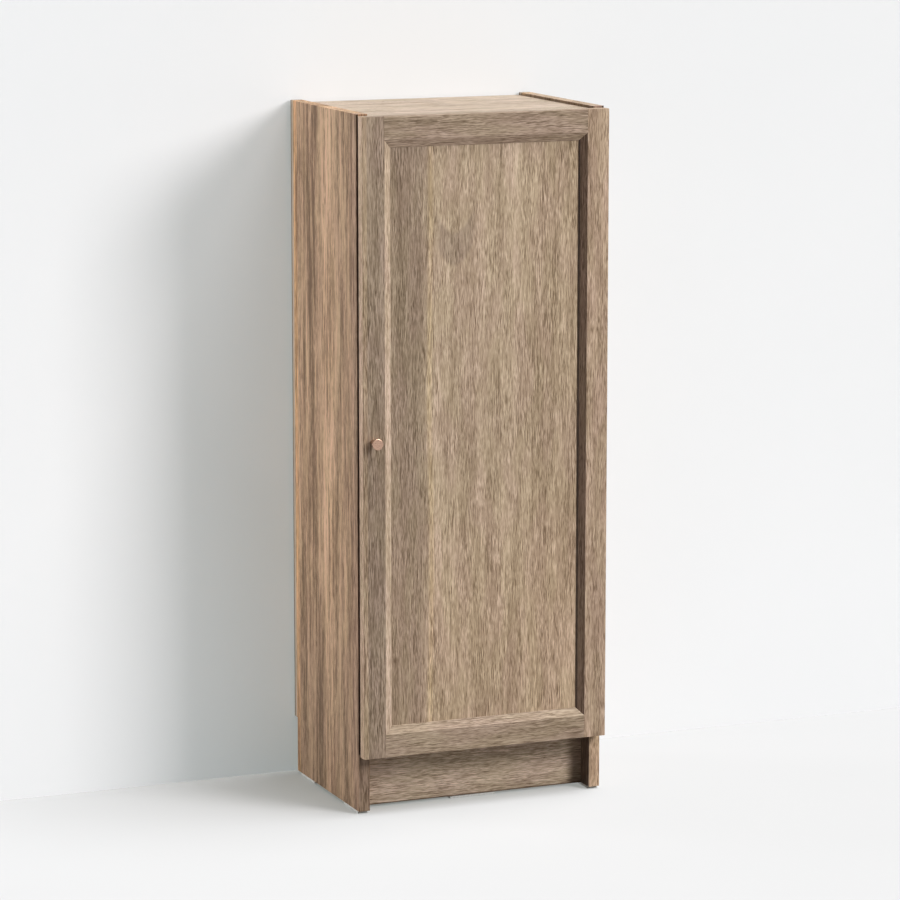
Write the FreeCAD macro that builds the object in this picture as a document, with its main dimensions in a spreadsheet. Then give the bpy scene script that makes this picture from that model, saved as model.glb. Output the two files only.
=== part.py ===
import FreeCAD, Part

import math
import os
from types import SimpleNamespace

import Sketcher

# Narrow cabinet with one framed door
#
# The row frame has its origin on the floor, below the middle of the whole object. +Z is up, the
# door faces -Y, and +X is to the right for someone who looks at the door. All lengths are in
# millimetres.

SIZES = {
    # Carcass boards
    "cabinet_width": 400.0,
    "cabinet_height": 1060.0,
    "side_depth": 280.0,
    "board_thickness": 18.0,
    "edge_ease": 0.5,
    "top_drop": 4.0,
    "plinth_height": 88.0,
    "plinth_recess": 30.0,
    "notch_depth": 13.0,
    "notch_below_shelf": 2.0,
    # Feet
    "glide_height": 4.0,
    "glide_length": 60.0,
    "glide_inset": 1.0,
    "glide_from_front": 6.0,
    "glide_from_notch": 12.0,
    "glide_peg_diameter": 5.0,
    "glide_peg_length": 8.0,
    "plinth_pad_length": 75.0,
    "plinth_pad_width": 15.0,
    # Back panel in its grooves
    "back_thickness": 3.0,
    "back_inset": 8.0,
    "groove_depth": 6.5,
    "groove_play": 0.2,
    "back_edge_play": 0.5,
    "nail_diameter": 1.8,
    "nail_length": 20.0,
    "nail_head_diameter": 4.0,
    "nail_head_height": 0.8,
    "nail_spacing": 60.0,
    # Loose shelves on pins
    "shelf_front_setback": 8.8,
    "shelf_side_play": 1.0,
    "shelf_rear_play": 2.0,
    "pin_diameter": 5.0,
    "pin_sink": 8.0,
    "pin_hole_depth": 10.0,
    "pin_pitch": 32.0,
    "pin_setback": 37.0,
    "pin_rear_least": 40.0,
    "spoon_length": 8.0,
    "spoon_width": 6.4,
    # Joints between the boards
    "hole_play": 0.1,
    "hole_end_play": 0.5,
    "dowel_diameter": 8.0,
    "dowel_length": 30.0,
    "dowel_side_sink": 12.0,
    "plinth_dowel_low": 24.0,
    "plinth_dowel_gap": 40.0,
    "cam_diameter": 15.0,
    "cam_height": 13.5,
    "cam_setback": 24.0,
    "cam_behind_plinth": 14.0,
    "cam_to_dowel": 32.0,
    "cam_bore_play": 0.4,
    "cam_slot_length": 9.0,
    "cam_slot_width": 1.4,
    "cam_slot_depth": 2.0,
    "bolt_thread_diameter": 6.0,
    "bolt_thread_length": 11.0,
    "bolt_neck_diameter": 5.0,
    "bolt_head_diameter": 7.0,
    "bolt_head_length": 4.0,
    # Door
    "door_side_reveal": 1.0,
    "door_top_reveal": 2.5,
    "door_laps_shelf": 2.0,
    "door_thickness": 18.0,
    "door_gap": 4.0,
    "frame_flat": 35.0,
    "bevel_width": 12.0,
    "bevel_depth": 8.5,
    "bevel_nose": 0.8,
    "panel_thickness": 6.0,
    "groove_to_cup": 1.5,
    "panel_edge_play": 0.5,
    "door_dowel_diameter": 6.0,
    "door_dowel_sink": 15.0,
    "door_dowel_near": 10.0,
    "door_dowel_far": 25.0,
    "bumper_diameter": 8.0,
    "bumper_from_side": 9.0,
    "bumper_from_end": 60.0,
    "bumper_play": 0.3,
    # Knob
    "knob_length": 20.0,
    "knob_foot_diameter": 9.0,
    "knob_foot_length": 2.0,
    "knob_face_diameter": 17.0,
    "knob_rim": 1.6,
    "knob_edge": 0.8,
    "knob_from_edge": 16.0,
    "knob_screw_diameter": 4.0,
    "knob_screw_grip": 11.0,
    "knob_screw_head_diameter": 8.0,
    "knob_screw_head_height": 2.2,
    # Hinges
    "hinge_end_least": 88.0,
    "pivot_in_cup": 4.4,
    "knuckle_play": 0.4,
    "hinge_pin_diameter": 3.0,
    "knuckle_diameter": 5.0,
    "knuckle_height": 8.0,
    "lug_play": 0.3,
    "lug_thickness": 2.0,
    "lug_reach": 3.0,
    "cup_diameter": 35.0,
    "cup_from_edge": 21.0,
    "cup_depth": 11.3,
    "cup_wall": 0.9,
    "cup_rim_diameter": 38.0,
    "flange_thickness": 1.2,
    "flange_width": 14.0,
    "flange_length": 62.0,
    "flange_corner": 4.0,
    "cup_screw_offset": 6.0,
    "cup_screw_spacing": 48.0,
    "cup_screw_diameter": 3.0,
    "cup_screw_length": 11.0,
    "cup_screw_head_diameter": 7.0,
    "cup_screw_head_height": 1.5,
    "plate_thickness": 1.8,
    "plate_front": 18.0,
    "plate_length": 46.0,
    "plate_width": 18.0,
    "plate_wing_width": 14.0,
    "plate_screw_land": 6.0,
    "rail_height": 7.2,
    "rail_width": 10.6,
    "rail_inset": 2.0,
    "plate_screw_head_diameter": 8.5,
    "plate_screw_head_height": 1.8,
    "arm_sheet": 1.5,
    "arm_play": 0.3,
    "arm_cheek": 1.4,
    "neck_thickness": 2.2,
    "neck_reach": 15.0,
    "arm_shoulder": 4.0,
    "arm_channel_start": 8.0,
    "arm_screw_diameter": 5.0,
    "arm_screw_sink": 6.0,
    "arm_screw_back": 50.0,
    "arm_adjuster_back": 26.0,
    "arm_screw_head_diameter": 8.0,
    "arm_screw_head_height": 2.2,
    # Length by which cuts run past the face that they open
    "overrun": 1.0,
}

NAIL_COUNT = 5

# Rows of pins that carry the two loose shelves, as shares of the way up the columns of holes
LOWER_SHELF_SHARE = 0.28
UPPER_SHELF_SHARE = 0.68

doc = FreeCAD.newDocument("cabinet")
sheet = doc.addObject("Spreadsheet::Sheet", "Sizes")
for row, (name, value) in enumerate(SIZES.items(), start=1):
    sheet.set(f"A{row}", name)
    sheet.set(f"B{row}", str(value))
    sheet.setAlias(f"B{row}", name)
doc.recompute()


class Size:
    """A length that carries its value and the spreadsheet formula that gives it."""

    def __init__(self, value, formula):
        self.value = float(value)
        self.formula = formula

    @staticmethod
    def of(other):
        return other if isinstance(other, Size) else Size(other, repr(other))

    def __add__(self, other):
        other = Size.of(other)
        return Size(self.value + other.value, f"({self.formula} + {other.formula})")

    def __sub__(self, other):
        other = Size.of(other)
        return Size(self.value - other.value, f"({self.formula} - {other.formula})")

    def __rsub__(self, other):
        return Size.of(other) - self

    def __mul__(self, other):
        other = Size.of(other)
        return Size(self.value * other.value, f"({self.formula} * {other.formula})")

    def __truediv__(self, other):
        other = Size.of(other)
        return Size(self.value / other.value, f"({self.formula} / {other.formula})")

    def __neg__(self):
        return Size(-self.value, f"(-1 * {self.formula})")

    __radd__ = __add__
    __rmul__ = __mul__


s = SimpleNamespace(**{name: Size(value, f"Sizes.{name}") for name, value in SIZES.items()})
ZERO = Size(0, "0")

def whole_steps(room, step):
    """How many whole steps fit in the room."""
    ratio = room / step
    return Size(math.floor(ratio.value), f"floor({ratio.formula})")


def row_at(share, rows):
    """The row of holes nearest to a share of the way up."""
    place = (rows - 1) * share
    return Size(round(place.value), f"round({place.formula})")


# Places that several pieces share, in the row frame
inner_width = s.cabinet_width - 2 * s.board_thickness
side_height = s.cabinet_height - s.glide_height
front_reach = s.knob_length + s.door_thickness + s.door_gap
side_front = (front_reach - s.side_depth) / 2
notch_height = s.plinth_height - s.notch_below_shelf
groove_width = s.back_thickness + s.groove_play
back_front = s.side_depth - s.back_inset - groove_width
top_bottom = s.cabinet_height - s.top_drop - s.board_thickness
shelf_bottom = s.glide_height + s.plinth_height
door_width = s.cabinet_width - 2 * s.door_side_reveal
door_bottom = shelf_bottom - s.door_laps_shelf
door_height = s.cabinet_height - s.door_top_reveal - door_bottom
door_back = side_front - s.door_gap
door_front = door_back - s.door_thickness
hinge_steps = whole_steps(door_height - 2 * s.hinge_end_least, s.pin_pitch)
hinge_span = hinge_steps * s.pin_pitch
hinge_low = door_bottom + (door_height - hinge_span) / 2
pin_rows = hinge_steps + 2
pin_row_low = hinge_low - s.pin_pitch / 2
pivot_from_edge = s.cup_from_edge - s.cup_diameter / 2 + s.pivot_in_cup
pivot_depth = s.cup_depth - s.cup_wall - s.knuckle_diameter / 2 - s.knuckle_play
pivot_x = door_width / 2 - pivot_from_edge
pivot_y = door_back - pivot_depth
half = s.board_thickness / 2
nail_steps = [step - (NAIL_COUNT - 1) / 2 for step in range(NAIL_COUNT)]
bodies = []


def hole(diameter):
    """The bore that a pin, peg or screw of this diameter goes in."""
    return diameter + s.hole_play


def new_body(label, x=ZERO, y=ZERO, z=ZERO):
    """An empty body whose own frame lies at x, y, z."""
    body = doc.addObject("PartDesign::Body", label)
    body.Label = label
    for axis, place in (("x", x), ("y", y), ("z", z)):
        body.setExpression(f"Placement.Base.{axis}", place.formula)
    bodies.append(body)
    return body


def new_sketch(body, plane, at):
    """A sketch on one of the body's own planes, moved to the coordinate at."""
    sketch = body.newObject("Sketcher::SketchObject", f"{body.Label}_sketch")
    origin_plane = next(item for item in body.Origin.OriginFeatures if item.Role == plane)
    sketch.AttachmentSupport = [(origin_plane, "")]
    sketch.MapMode = "FlatFace"
    offset = -at if plane == "XZ_Plane" else at
    sketch.setExpression("AttachmentOffset.Base.z", offset.formula)
    return sketch


def fix_point(sketch, geometry, point, place):
    """Tie one point of the sketch to the origin by two formulas."""
    for kind, length in zip(("DistanceX", "DistanceY"), place):
        rule = Sketcher.Constraint(kind, -1, 1, geometry, point, length.value)
        index = sketch.addConstraint(rule)
        sketch.setExpression(f"Constraints[{index}]", length.formula)


def outline(body, plane, at, *loops):
    """A sketch of closed straight-sided loops, each a list of corner places."""
    sketch = new_sketch(body, plane, at)
    for corners in loops:
        places = [(Size.of(across), Size.of(along)) for across, along in corners]
        spots = [FreeCAD.Vector(across.value, along.value, 0) for across, along in places]
        first = sketch.GeometryCount
        for start, end in zip(spots, spots[1:] + spots[:1]):
            sketch.addGeometry(Part.LineSegment(start, end), False)
        for index, place in enumerate(places):
            before = first + (index - 1) % len(places)
            sketch.addConstraint(Sketcher.Constraint("Coincident", before, 2, first + index, 1))
            fix_point(sketch, first + index, 1, place)
    return sketch


def circles(body, plane, at, centres, diameter):
    """A sketch of equal circles."""
    sketch = new_sketch(body, plane, at)
    for place in centres:
        place = [Size.of(length) for length in place]
        centre = FreeCAD.Vector(place[0].value, place[1].value, 0)
        ring = Part.Circle(centre, FreeCAD.Vector(0, 0, 1), diameter.value / 2)
        index = sketch.addGeometry(ring, False)
        fix_point(sketch, index, 3, place)
        rule = sketch.addConstraint(Sketcher.Constraint("Diameter", index, diameter.value))
        sketch.setExpression(f"Constraints[{rule}]", diameter.formula)
    return sketch


def box_loop(low_across, low_along, high_across, high_along):
    """The four corners of a rectangle."""
    return [
        (low_across, low_along),
        (high_across, low_along),
        (high_across, high_along),
        (low_across, high_along),
    ]


def feature(body, kind, sketch, length, reversed_way):
    step = body.newObject(f"PartDesign::{kind}", f"{body.Label}_{kind.lower()}")
    step.Profile = sketch
    step.Reversed = reversed_way
    step.setExpression("Length", length.formula)
    return step


def pad(body, sketch, length, towards):
    """Grow a solid from the sketch; towards is 1 or -1 along the body's own axis."""
    flips = "XZ_Plane" in sketch.AttachmentSupport[0][0].Role
    return feature(body, "Pad", sketch, length, (towards > 0) == flips)


def pocket(body, sketch, length, towards):
    """Cut the sketch into the solid; towards is 1 or -1 along the body's own axis."""
    flips = "XZ_Plane" in sketch.AttachmentSupport[0][0].Role
    return feature(body, "Pocket", sketch, length, (towards > 0) != flips)


def rods(body, plane, at, centres, diameter, length, towards):
    """Round bars of one length that start from a plane."""
    return pad(body, circles(body, plane, at, centres, diameter), length, towards)


def bores(body, plane, at, centres, diameter, depth, towards):
    """Round holes that start from a plane and run a little way past it."""
    start = at - towards * s.overrun
    sketch = circles(body, plane, start, centres, hole(diameter))
    return pocket(body, sketch, depth + s.overrun, towards)


# Carcass: two sides, top, bottom shelf, plinth and back

cam_from_front = s.plinth_recess + s.board_thickness + s.cam_behind_plinth
dowel_from_front = cam_from_front + s.cam_to_dowel
cam_places = [cam_from_front, s.side_depth - cam_from_front]
cam_bore = s.bolt_head_diameter + s.cam_bore_play
dowel_places = [dowel_from_front, s.side_depth - dowel_from_front]
plinth_dowel_places = [s.plinth_dowel_low, s.plinth_dowel_low + s.plinth_dowel_gap]
glide_middles = [
    s.glide_from_front + s.glide_length / 2,
    s.side_depth - s.notch_depth - s.glide_from_notch - s.glide_length / 2,
]
board_levels = [shelf_bottom + half - s.glide_height, top_bottom + half - s.glide_height]
column_room = s.side_depth - s.pin_setback - s.pin_rear_least
column_gap = whole_steps(column_room, s.pin_pitch) * s.pin_pitch
pin_columns = [s.pin_setback, s.pin_setback + column_gap]


def make_side(label, hand):
    """A side board, with its frame on the inner face at the front; hand is 1 on the right."""
    body = new_body(label, hand * inner_width / 2, side_front, s.glide_height)
    thick = s.board_thickness
    ease = s.edge_ease
    plan = [
        (0, ease),
        (hand * ease, 0),
        (hand * (thick - ease), 0),
        (hand * thick, ease),
        (hand * thick, s.side_depth - ease),
        (hand * (thick - ease), s.side_depth),
        (0, s.side_depth),
    ]
    pad(body, outline(body, "XY_Plane", ZERO, plan), side_height, 1)

    # Notch over the skirting board of a room, and the groove for the back panel
    notch = box_loop(
        s.side_depth - s.notch_depth, -s.overrun, s.side_depth + s.overrun, notch_height
    )
    through = thick + 2 * s.overrun
    pocket(body, outline(body, "YZ_Plane", -hand * s.overrun, notch), through, hand)
    groove_top = top_bottom - s.glide_height + s.groove_depth
    groove = box_loop(back_front, notch_height - s.overrun, back_front + groove_width, groove_top)
    sink = s.groove_depth + s.overrun
    pocket(body, outline(body, "YZ_Plane", -hand * s.overrun, groove), sink, hand)

    # Bolts and dowels of the top and the bottom shelf, dowels of the plinth, pegs of the feet
    bolt_spots = [(y, z) for y in cam_places for z in board_levels]
    bolt_sink = s.bolt_thread_length + s.hole_end_play
    bores(body, "YZ_Plane", ZERO, bolt_spots, s.bolt_thread_diameter, bolt_sink, hand)
    dowel_spots = [(y, z) for y in dowel_places for z in board_levels]
    dowel_spots += [(s.plinth_recess + half, z) for z in plinth_dowel_places]
    dowel_sink = s.dowel_side_sink + s.hole_end_play
    bores(body, "YZ_Plane", ZERO, dowel_spots, s.dowel_diameter, dowel_sink, hand)
    peg_spots = [(hand * half, y) for y in glide_middles]
    peg_sink = s.glide_peg_length + s.hole_end_play
    bores(body, "XY_Plane", ZERO, peg_spots, s.glide_peg_diameter, peg_sink, 1)

    # Two columns of shelf-pin holes
    first_row = [(y, pin_row_low - s.glide_height) for y in pin_columns]
    row = bores(body, "YZ_Plane", ZERO, first_row, s.pin_diameter, s.pin_hole_depth, hand)
    rows = body.newObject("PartDesign::LinearPattern", f"{label}_pin_rows")
    rows.Originals = [row]
    rows.Direction = (row.Profile[0], ["V_Axis"])
    rows.setExpression("Length", ((pin_rows - 1) * s.pin_pitch).formula)
    rows.setExpression("Occurrences", pin_rows.formula)
    body.Tip = rows


def board_profile(depth, height):
    """The section of a board along its depth, with eased front edges."""
    ease = s.edge_ease
    return [(0, ease), (ease, 0), (depth, 0), (depth, height), (ease, height), (0, height - ease)]


def board_between_sides(body, width, depth, height):
    section = outline(body, "YZ_Plane", -width / 2, board_profile(depth, height))
    pad(body, section, width, 1)


def cut_board_joints(body):
    """Cam pockets in the underside, and bolt and dowel holes in both ends."""
    end = inner_width / 2
    cams = [(hand * (end - s.cam_setback), y) for hand in (-1, 1) for y in cam_places]
    bores(body, "XY_Plane", ZERO, cams, s.cam_diameter, s.cam_height + s.hole_end_play, 1)
    for hand in (-1, 1):
        bolt_spots = [(y, half) for y in cam_places]
        bores(body, "YZ_Plane", hand * end, bolt_spots, cam_bore, s.cam_setback, -hand)
        dowel_spots = [(y, half) for y in dowel_places]
        sink = s.dowel_length - s.dowel_side_sink + s.hole_end_play
        bores(body, "YZ_Plane", hand * end, dowel_spots, s.dowel_diameter, sink, -hand)


def make_top():
    body = new_body("top_panel", y=side_front, z=top_bottom)
    board_between_sides(body, inner_width, s.side_depth, s.board_thickness)
    reach = inner_width / 2 + s.overrun
    groove = box_loop(-reach, back_front, reach, back_front + groove_width)
    sink = s.groove_depth + s.overrun
    pocket(body, outline(body, "XY_Plane", -s.overrun, groove), sink, 1)
    cut_board_joints(body)


def make_bottom_shelf():
    body = new_body("bottom_shelf", y=side_front, z=shelf_bottom)
    board_between_sides(body, inner_width, back_front, s.board_thickness)
    cut_board_joints(body)
    nails = [(step * s.nail_spacing, half) for step in nail_steps]
    sink = s.nail_length - s.back_thickness + s.hole_end_play
    bores(body, "XZ_Plane", back_front, nails, s.nail_diameter, sink, -1)


def make_plinth():
    body = new_body("plinth_board", y=side_front + s.plinth_recess, z=s.glide_height)
    board_between_sides(body, inner_width, s.board_thickness, s.plinth_height)
    sink = s.dowel_length - s.dowel_side_sink + s.hole_end_play
    spots = [(half, z) for z in plinth_dowel_places]
    for hand in (-1, 1):
        end = hand * inner_width / 2
        bores(body, "YZ_Plane", end, spots, s.dowel_diameter, sink, -hand)
    peg_sink = s.glide_peg_length + s.hole_end_play
    bores(body, "XY_Plane", ZERO, [(0, half)], s.glide_peg_diameter, peg_sink, 1)


def make_back():
    body = new_body("back_panel", y=side_front + back_front, z=shelf_bottom)
    reach = inner_width / 2 + s.groove_depth - s.back_edge_play
    height = top_bottom + s.groove_depth - s.back_edge_play - shelf_bottom
    sheet_loop = box_loop(-reach, 0, reach, height)
    pad(body, outline(body, "XZ_Plane", ZERO, sheet_loop), s.back_thickness, 1)
    nails = [(step * s.nail_spacing, half) for step in nail_steps]
    through = s.back_thickness + s.overrun
    bores(body, "XZ_Plane", ZERO, nails, s.nail_diameter, through, 1)


def make_nails():
    body = new_body("back_panel_nails", y=side_front + back_front, z=shelf_bottom)
    spots = [(step * s.nail_spacing, half) for step in nail_steps]
    rear = s.back_thickness
    rods(body, "XZ_Plane", rear, spots, s.nail_diameter, s.nail_length, -1)
    rods(body, "XZ_Plane", rear, spots, s.nail_head_diameter, s.nail_head_height, 1)


make_side("left_side_panel", -1)
make_side("right_side_panel", 1)
make_top()
make_bottom_shelf()
make_plinth()
make_back()
make_nails()


# Feet under the sides and under the middle of the plinth


def make_glides(label, hand):
    """The front and rear plastic glides of one side board, each with its peg."""
    body = new_body(label, hand * inner_width / 2, side_front)
    loops = []
    for middle in glide_middles:
        near = hand * s.glide_inset
        far = hand * (s.board_thickness - s.glide_inset)
        reach = s.glide_length / 2
        loops.append(box_loop(near, middle - reach, far, middle + reach))
    pad(body, outline(body, "XY_Plane", ZERO, *loops), s.glide_height, 1)
    spots = [(hand * half, middle) for middle in glide_middles]
    top = s.glide_height
    rods(body, "XY_Plane", top, spots, s.glide_peg_diameter, s.glide_peg_length, 1)


def make_plinth_pad():
    body = new_body("plinth_support_pad", y=side_front + s.plinth_recess + half)
    reach = s.plinth_pad_length / 2
    side = s.plinth_pad_width / 2
    block = outline(body, "XY_Plane", ZERO, box_loop(-reach, -side, reach, side))
    pad(body, block, s.glide_height, 1)
    top = s.glide_height
    rods(body, "XY_Plane", top, [(0, 0)], s.glide_peg_diameter, s.glide_peg_length, 1)


make_glides("left_floor_glides", -1)
make_glides("right_floor_glides", 1)
make_plinth_pad()


# Loose shelves and the pins that carry them


def shelf_level(row):
    """Height of the pin centres of one row of holes."""
    return pin_row_low + row * s.pin_pitch


def make_loose_shelf(label, row):
    rest = shelf_level(row) + s.pin_diameter / 2
    body = new_body(label, y=side_front + s.shelf_front_setback, z=rest)
    width = inner_width - 2 * s.shelf_side_play
    depth = back_front - s.shelf_rear_play - s.shelf_front_setback
    board_between_sides(body, width, depth, s.board_thickness)


def make_shelf_pins(label, row):
    """Four pins, each a round peg in the side board and a flat-topped spoon under the shelf."""
    body = new_body(label, y=side_front, z=shelf_level(row))
    top = s.pin_diameter / 2
    edge = s.spoon_width / 2
    spots = [(y, 0) for y in pin_columns]
    loops = []
    for y in pin_columns:
        loop = [(y - edge, top), (y + edge, top), (y + edge, top / 4), (y + edge / 2, -top)]
        loop += [(y - edge / 2, -top), (y - edge, top / 4)]
        loops.append(loop)
    for hand in (-1, 1):
        face = hand * inner_width / 2
        rods(body, "YZ_Plane", face, spots, s.pin_diameter, s.pin_sink, hand)
        spoons = outline(body, "YZ_Plane", face, *loops)
        pad(body, spoons, s.spoon_length, -hand)


for level_name, share in (("lower", LOWER_SHELF_SHARE), ("upper", UPPER_SHELF_SHARE)):
    row = row_at(share, pin_rows)
    make_loose_shelf(f"{level_name}_shelf", row)
    make_shelf_pins(f"{level_name}_shelf_pins", row)


# Hidden fasteners of the carcass


def make_cam_locks(label, level):
    """Four cam nuts in the underside of a board, each with a driver slot and a side bore."""
    body = new_body(label, y=side_front, z=level)
    reach = inner_width / 2 - s.cam_setback
    spots = [(hand * reach, y) for hand in (-1, 1) for y in cam_places]
    rods(body, "XY_Plane", ZERO, spots, s.cam_diameter, s.cam_height, 1)
    for hand in (-1, 1):
        bolt_spots = [(y, half) for y in cam_places]
        sketch = circles(body, "YZ_Plane", hand * reach, bolt_spots, cam_bore)
        pocket(body, sketch, s.cam_diameter, hand)
    long = s.cam_slot_length / 2
    short = s.cam_slot_width / 2
    slots = [box_loop(x - long, y - short, x + long, y + short) for x, y in spots]
    sink = s.cam_slot_depth + s.overrun
    pocket(body, outline(body, "XY_Plane", -s.overrun, *slots), sink, 1)


def make_cam_bolts(label, level):
    """Four bolts, each screwed in a side board with its head held by a cam nut."""
    body = new_body(label, y=side_front, z=level)
    spots = [(y, half) for y in cam_places]
    neck = s.cam_setback - s.bolt_head_length
    for hand in (-1, 1):
        face = hand * inner_width / 2
        head_start = hand * (inner_width / 2 - neck)
        thread = s.bolt_thread_length
        rods(body, "YZ_Plane", face, spots, s.bolt_thread_diameter, thread, hand)
        rods(body, "YZ_Plane", face, spots, s.bolt_neck_diameter, neck, -hand)
        rods(body, "YZ_Plane", head_start, spots, s.bolt_head_diameter, s.bolt_head_length, -hand)


def make_dowels(label, y, z, spots):
    """Wooden dowels across both ends of a board."""
    body = new_body(label, y=y, z=z)
    for hand in (-1, 1):
        start = hand * (inner_width / 2 - s.dowel_length + s.dowel_side_sink)
        rods(body, "YZ_Plane", start, spots, s.dowel_diameter, s.dowel_length, hand)


board_dowel_spots = [(y, half) for y in dowel_places]
make_cam_locks("top_cam_locks", top_bottom)
make_cam_locks("bottom_cam_locks", shelf_bottom)
make_cam_bolts("top_cam_bolts", top_bottom)
make_cam_bolts("bottom_cam_bolts", shelf_bottom)
make_dowels("top_dowels", side_front, top_bottom, board_dowel_spots)
make_dowels("bottom_dowels", side_front, shelf_bottom, board_dowel_spots)
make_dowels(
    "plinth_dowels",
    side_front + s.plinth_recess + half,
    s.glide_height,
    [(0, z) for z in plinth_dowel_places],
)


# Door: a frame of stiles and rails round a thin panel
#
# All pieces of the door have their frame at its lower left front corner, so that x runs along
# its width, y from the front face to the back and z up.

member = s.frame_flat + s.bevel_width
groove_floor = s.cup_from_edge + s.cup_diameter / 2 + s.groove_to_cup
groove_back = s.bevel_depth + s.panel_thickness + s.groove_play
cup_x = door_width - s.cup_from_edge
hinge_heights = [hinge_low - door_bottom, hinge_low - door_bottom + hinge_span]
knob_height = door_height / 2


def door_body(label):
    return new_body(label, -door_width / 2, door_front, door_bottom)


def member_section():
    """Corners of a frame member: distance from its outer edge, and depth from the front."""
    ease = s.edge_ease
    return [
        (0, ease),
        (ease, 0),
        (s.frame_flat, 0),
        (member, s.bevel_depth - s.bevel_nose),
        (member, s.bevel_depth),
        (groove_floor, s.bevel_depth),
        (groove_floor, groove_back),
        (member, groove_back),
        (member, s.door_thickness),
        (ease, s.door_thickness),
        (0, s.door_thickness - ease),
    ]


def from_left(x):
    return x


def from_right(x):
    return door_width - x


def from_bottom(z):
    return z


def from_top(z):
    return door_height - z


def cut_through(body, *loops):
    """Cut loops, drawn as the door is seen from the front, right through its thickness."""
    sketch = outline(body, "XZ_Plane", -s.overrun, *loops)
    pocket(body, sketch, s.door_thickness + 2 * s.overrun, 1)


def make_stile(label, place, hand):
    """A full-height member with both ends shouldered for the rails."""
    body = door_body(label)
    section = [(place(Size.of(across)), depth) for across, depth in member_section()]
    pad(body, outline(body, "XY_Plane", ZERO, section), door_height, 1)
    past = member + s.overrun
    loops = []
    for level in (from_bottom, from_top):
        shoulder = [
            (s.frame_flat, -s.overrun),
            (s.frame_flat, s.frame_flat),
            (past, past),
            (past, -s.overrun),
        ]
        loops.append([(place(x), level(z)) for x, z in shoulder])
    cut_through(body, *loops)
    spots = [
        (s.door_thickness / 2, level(z))
        for level in (from_bottom, from_top)
        for z in (s.door_dowel_near, s.door_dowel_far)
    ]
    sink = s.door_dowel_sink + s.hole_end_play
    start = place(s.frame_flat)
    bores(body, "YZ_Plane", start, spots, s.door_dowel_diameter, sink, hand)
    return body


def make_rail(label, level):
    """A member between the stiles, with its bevel mitred at both ends."""
    body = door_body(label)
    section = [(depth, level(Size.of(across))) for across, depth in member_section()]
    length = door_width - 2 * s.frame_flat
    pad(body, outline(body, "YZ_Plane", s.frame_flat, section), length, 1)
    past = member + s.overrun
    before = s.frame_flat - s.overrun
    mitre = [(s.frame_flat, s.frame_flat), (past, past), (before, past), (before, s.frame_flat)]
    loops = [[(place(x), level(z)) for x, z in mitre] for place in (from_left, from_right)]
    cut_through(body, *loops)
    spots = [(s.door_thickness / 2, level(z)) for z in (s.door_dowel_near, s.door_dowel_far)]
    sink = s.door_dowel_sink + s.hole_end_play
    for place, towards in ((from_left, 1), (from_right, -1)):
        start = place(s.frame_flat)
        bores(body, "YZ_Plane", start, spots, s.door_dowel_diameter, sink, towards)


def make_door_panel():
    body = door_body("door_centre_panel")
    low = groove_floor + s.panel_edge_play
    loop = box_loop(low, low, from_right(low), from_top(low))
    pad(body, outline(body, "XZ_Plane", s.bevel_depth, loop), s.panel_thickness, 1)


def make_door_dowels():
    body = door_body("door_frame_dowels")
    spots = [
        (s.door_thickness / 2, level(z))
        for level in (from_bottom, from_top)
        for z in (s.door_dowel_near, s.door_dowel_far)
    ]
    for place, towards in ((from_left, 1), (from_right, -1)):
        start = place(s.frame_flat - s.door_dowel_sink)
        length = 2 * s.door_dowel_sink
        rods(body, "YZ_Plane", start, spots, s.door_dowel_diameter, length, towards)


def make_bumpers():
    """Two soft pads on the back of the door, where it meets the left side."""
    body = door_body("door_bumpers")
    spots = [(s.bumper_from_side, level(s.bumper_from_end)) for level in (from_bottom, from_top)]
    height = s.door_gap - s.bumper_play
    rods(body, "XZ_Plane", s.door_thickness, spots, s.bumper_diameter, height, 1)


def make_knob():
    """A turned knob that widens from its foot to its face, bored for its screw."""
    body = new_body("door_knob", s.knob_from_edge - door_width / 2, door_front, door_bottom)
    body.setExpression("Placement.Base.z", (door_bottom + knob_height).formula)
    foot = s.knob_foot_diameter / 2
    face = s.knob_face_diameter / 2
    tip = -s.knob_length
    profile = [
        (0, 0),
        (foot, 0),
        (foot, -s.knob_foot_length),
        (face, tip + s.knob_rim),
        (face, tip + s.knob_edge),
        (face - s.knob_edge, tip),
        (0, tip),
    ]
    sketch = outline(body, "XY_Plane", ZERO, profile)
    turned = body.newObject("PartDesign::Revolution", "door_knob_turned")
    turned.Profile = sketch
    turned.ReferenceAxis = (sketch, ["V_Axis"])
    sink = s.knob_screw_grip + s.hole_end_play
    bores(body, "XZ_Plane", ZERO, [(0, 0)], s.knob_screw_diameter, sink, -1)


def make_knob_screw():
    body = door_body("knob_screw")
    spot = [(s.knob_from_edge, knob_height)]
    back = s.door_thickness
    length = s.door_thickness + s.knob_screw_grip
    rods(body, "XZ_Plane", back, spot, s.knob_screw_diameter, length, -1)
    head = s.knob_screw_head_height
    rods(body, "XZ_Plane", back, spot, s.knob_screw_head_diameter, head, 1)


left_stile = make_stile("door_left_stile", from_left, -1)
bores(
    left_stile,
    "XZ_Plane",
    ZERO,
    [(s.knob_from_edge, knob_height)],
    s.knob_screw_diameter,
    s.door_thickness + s.overrun,
    1,
)
right_stile = make_stile("door_right_stile", from_right, 1)
bores(
    right_stile,
    "XZ_Plane",
    s.door_thickness,
    [(cup_x, z) for z in hinge_heights],
    s.cup_diameter,
    s.cup_depth + s.hole_play,
    -1,
)
bores(
    right_stile,
    "XZ_Plane",
    s.door_thickness,
    [
        (cup_x - s.cup_screw_offset, z + side * s.cup_screw_spacing / 2)
        for z in hinge_heights
        for side in (-1, 1)
    ],
    s.cup_screw_diameter,
    s.cup_screw_length,
    -1,
)
make_rail("door_top_rail", from_top)
make_rail("door_bottom_rail", from_bottom)
make_door_panel()
make_door_dowels()
make_bumpers()
make_knob()
make_knob_screw()


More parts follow.
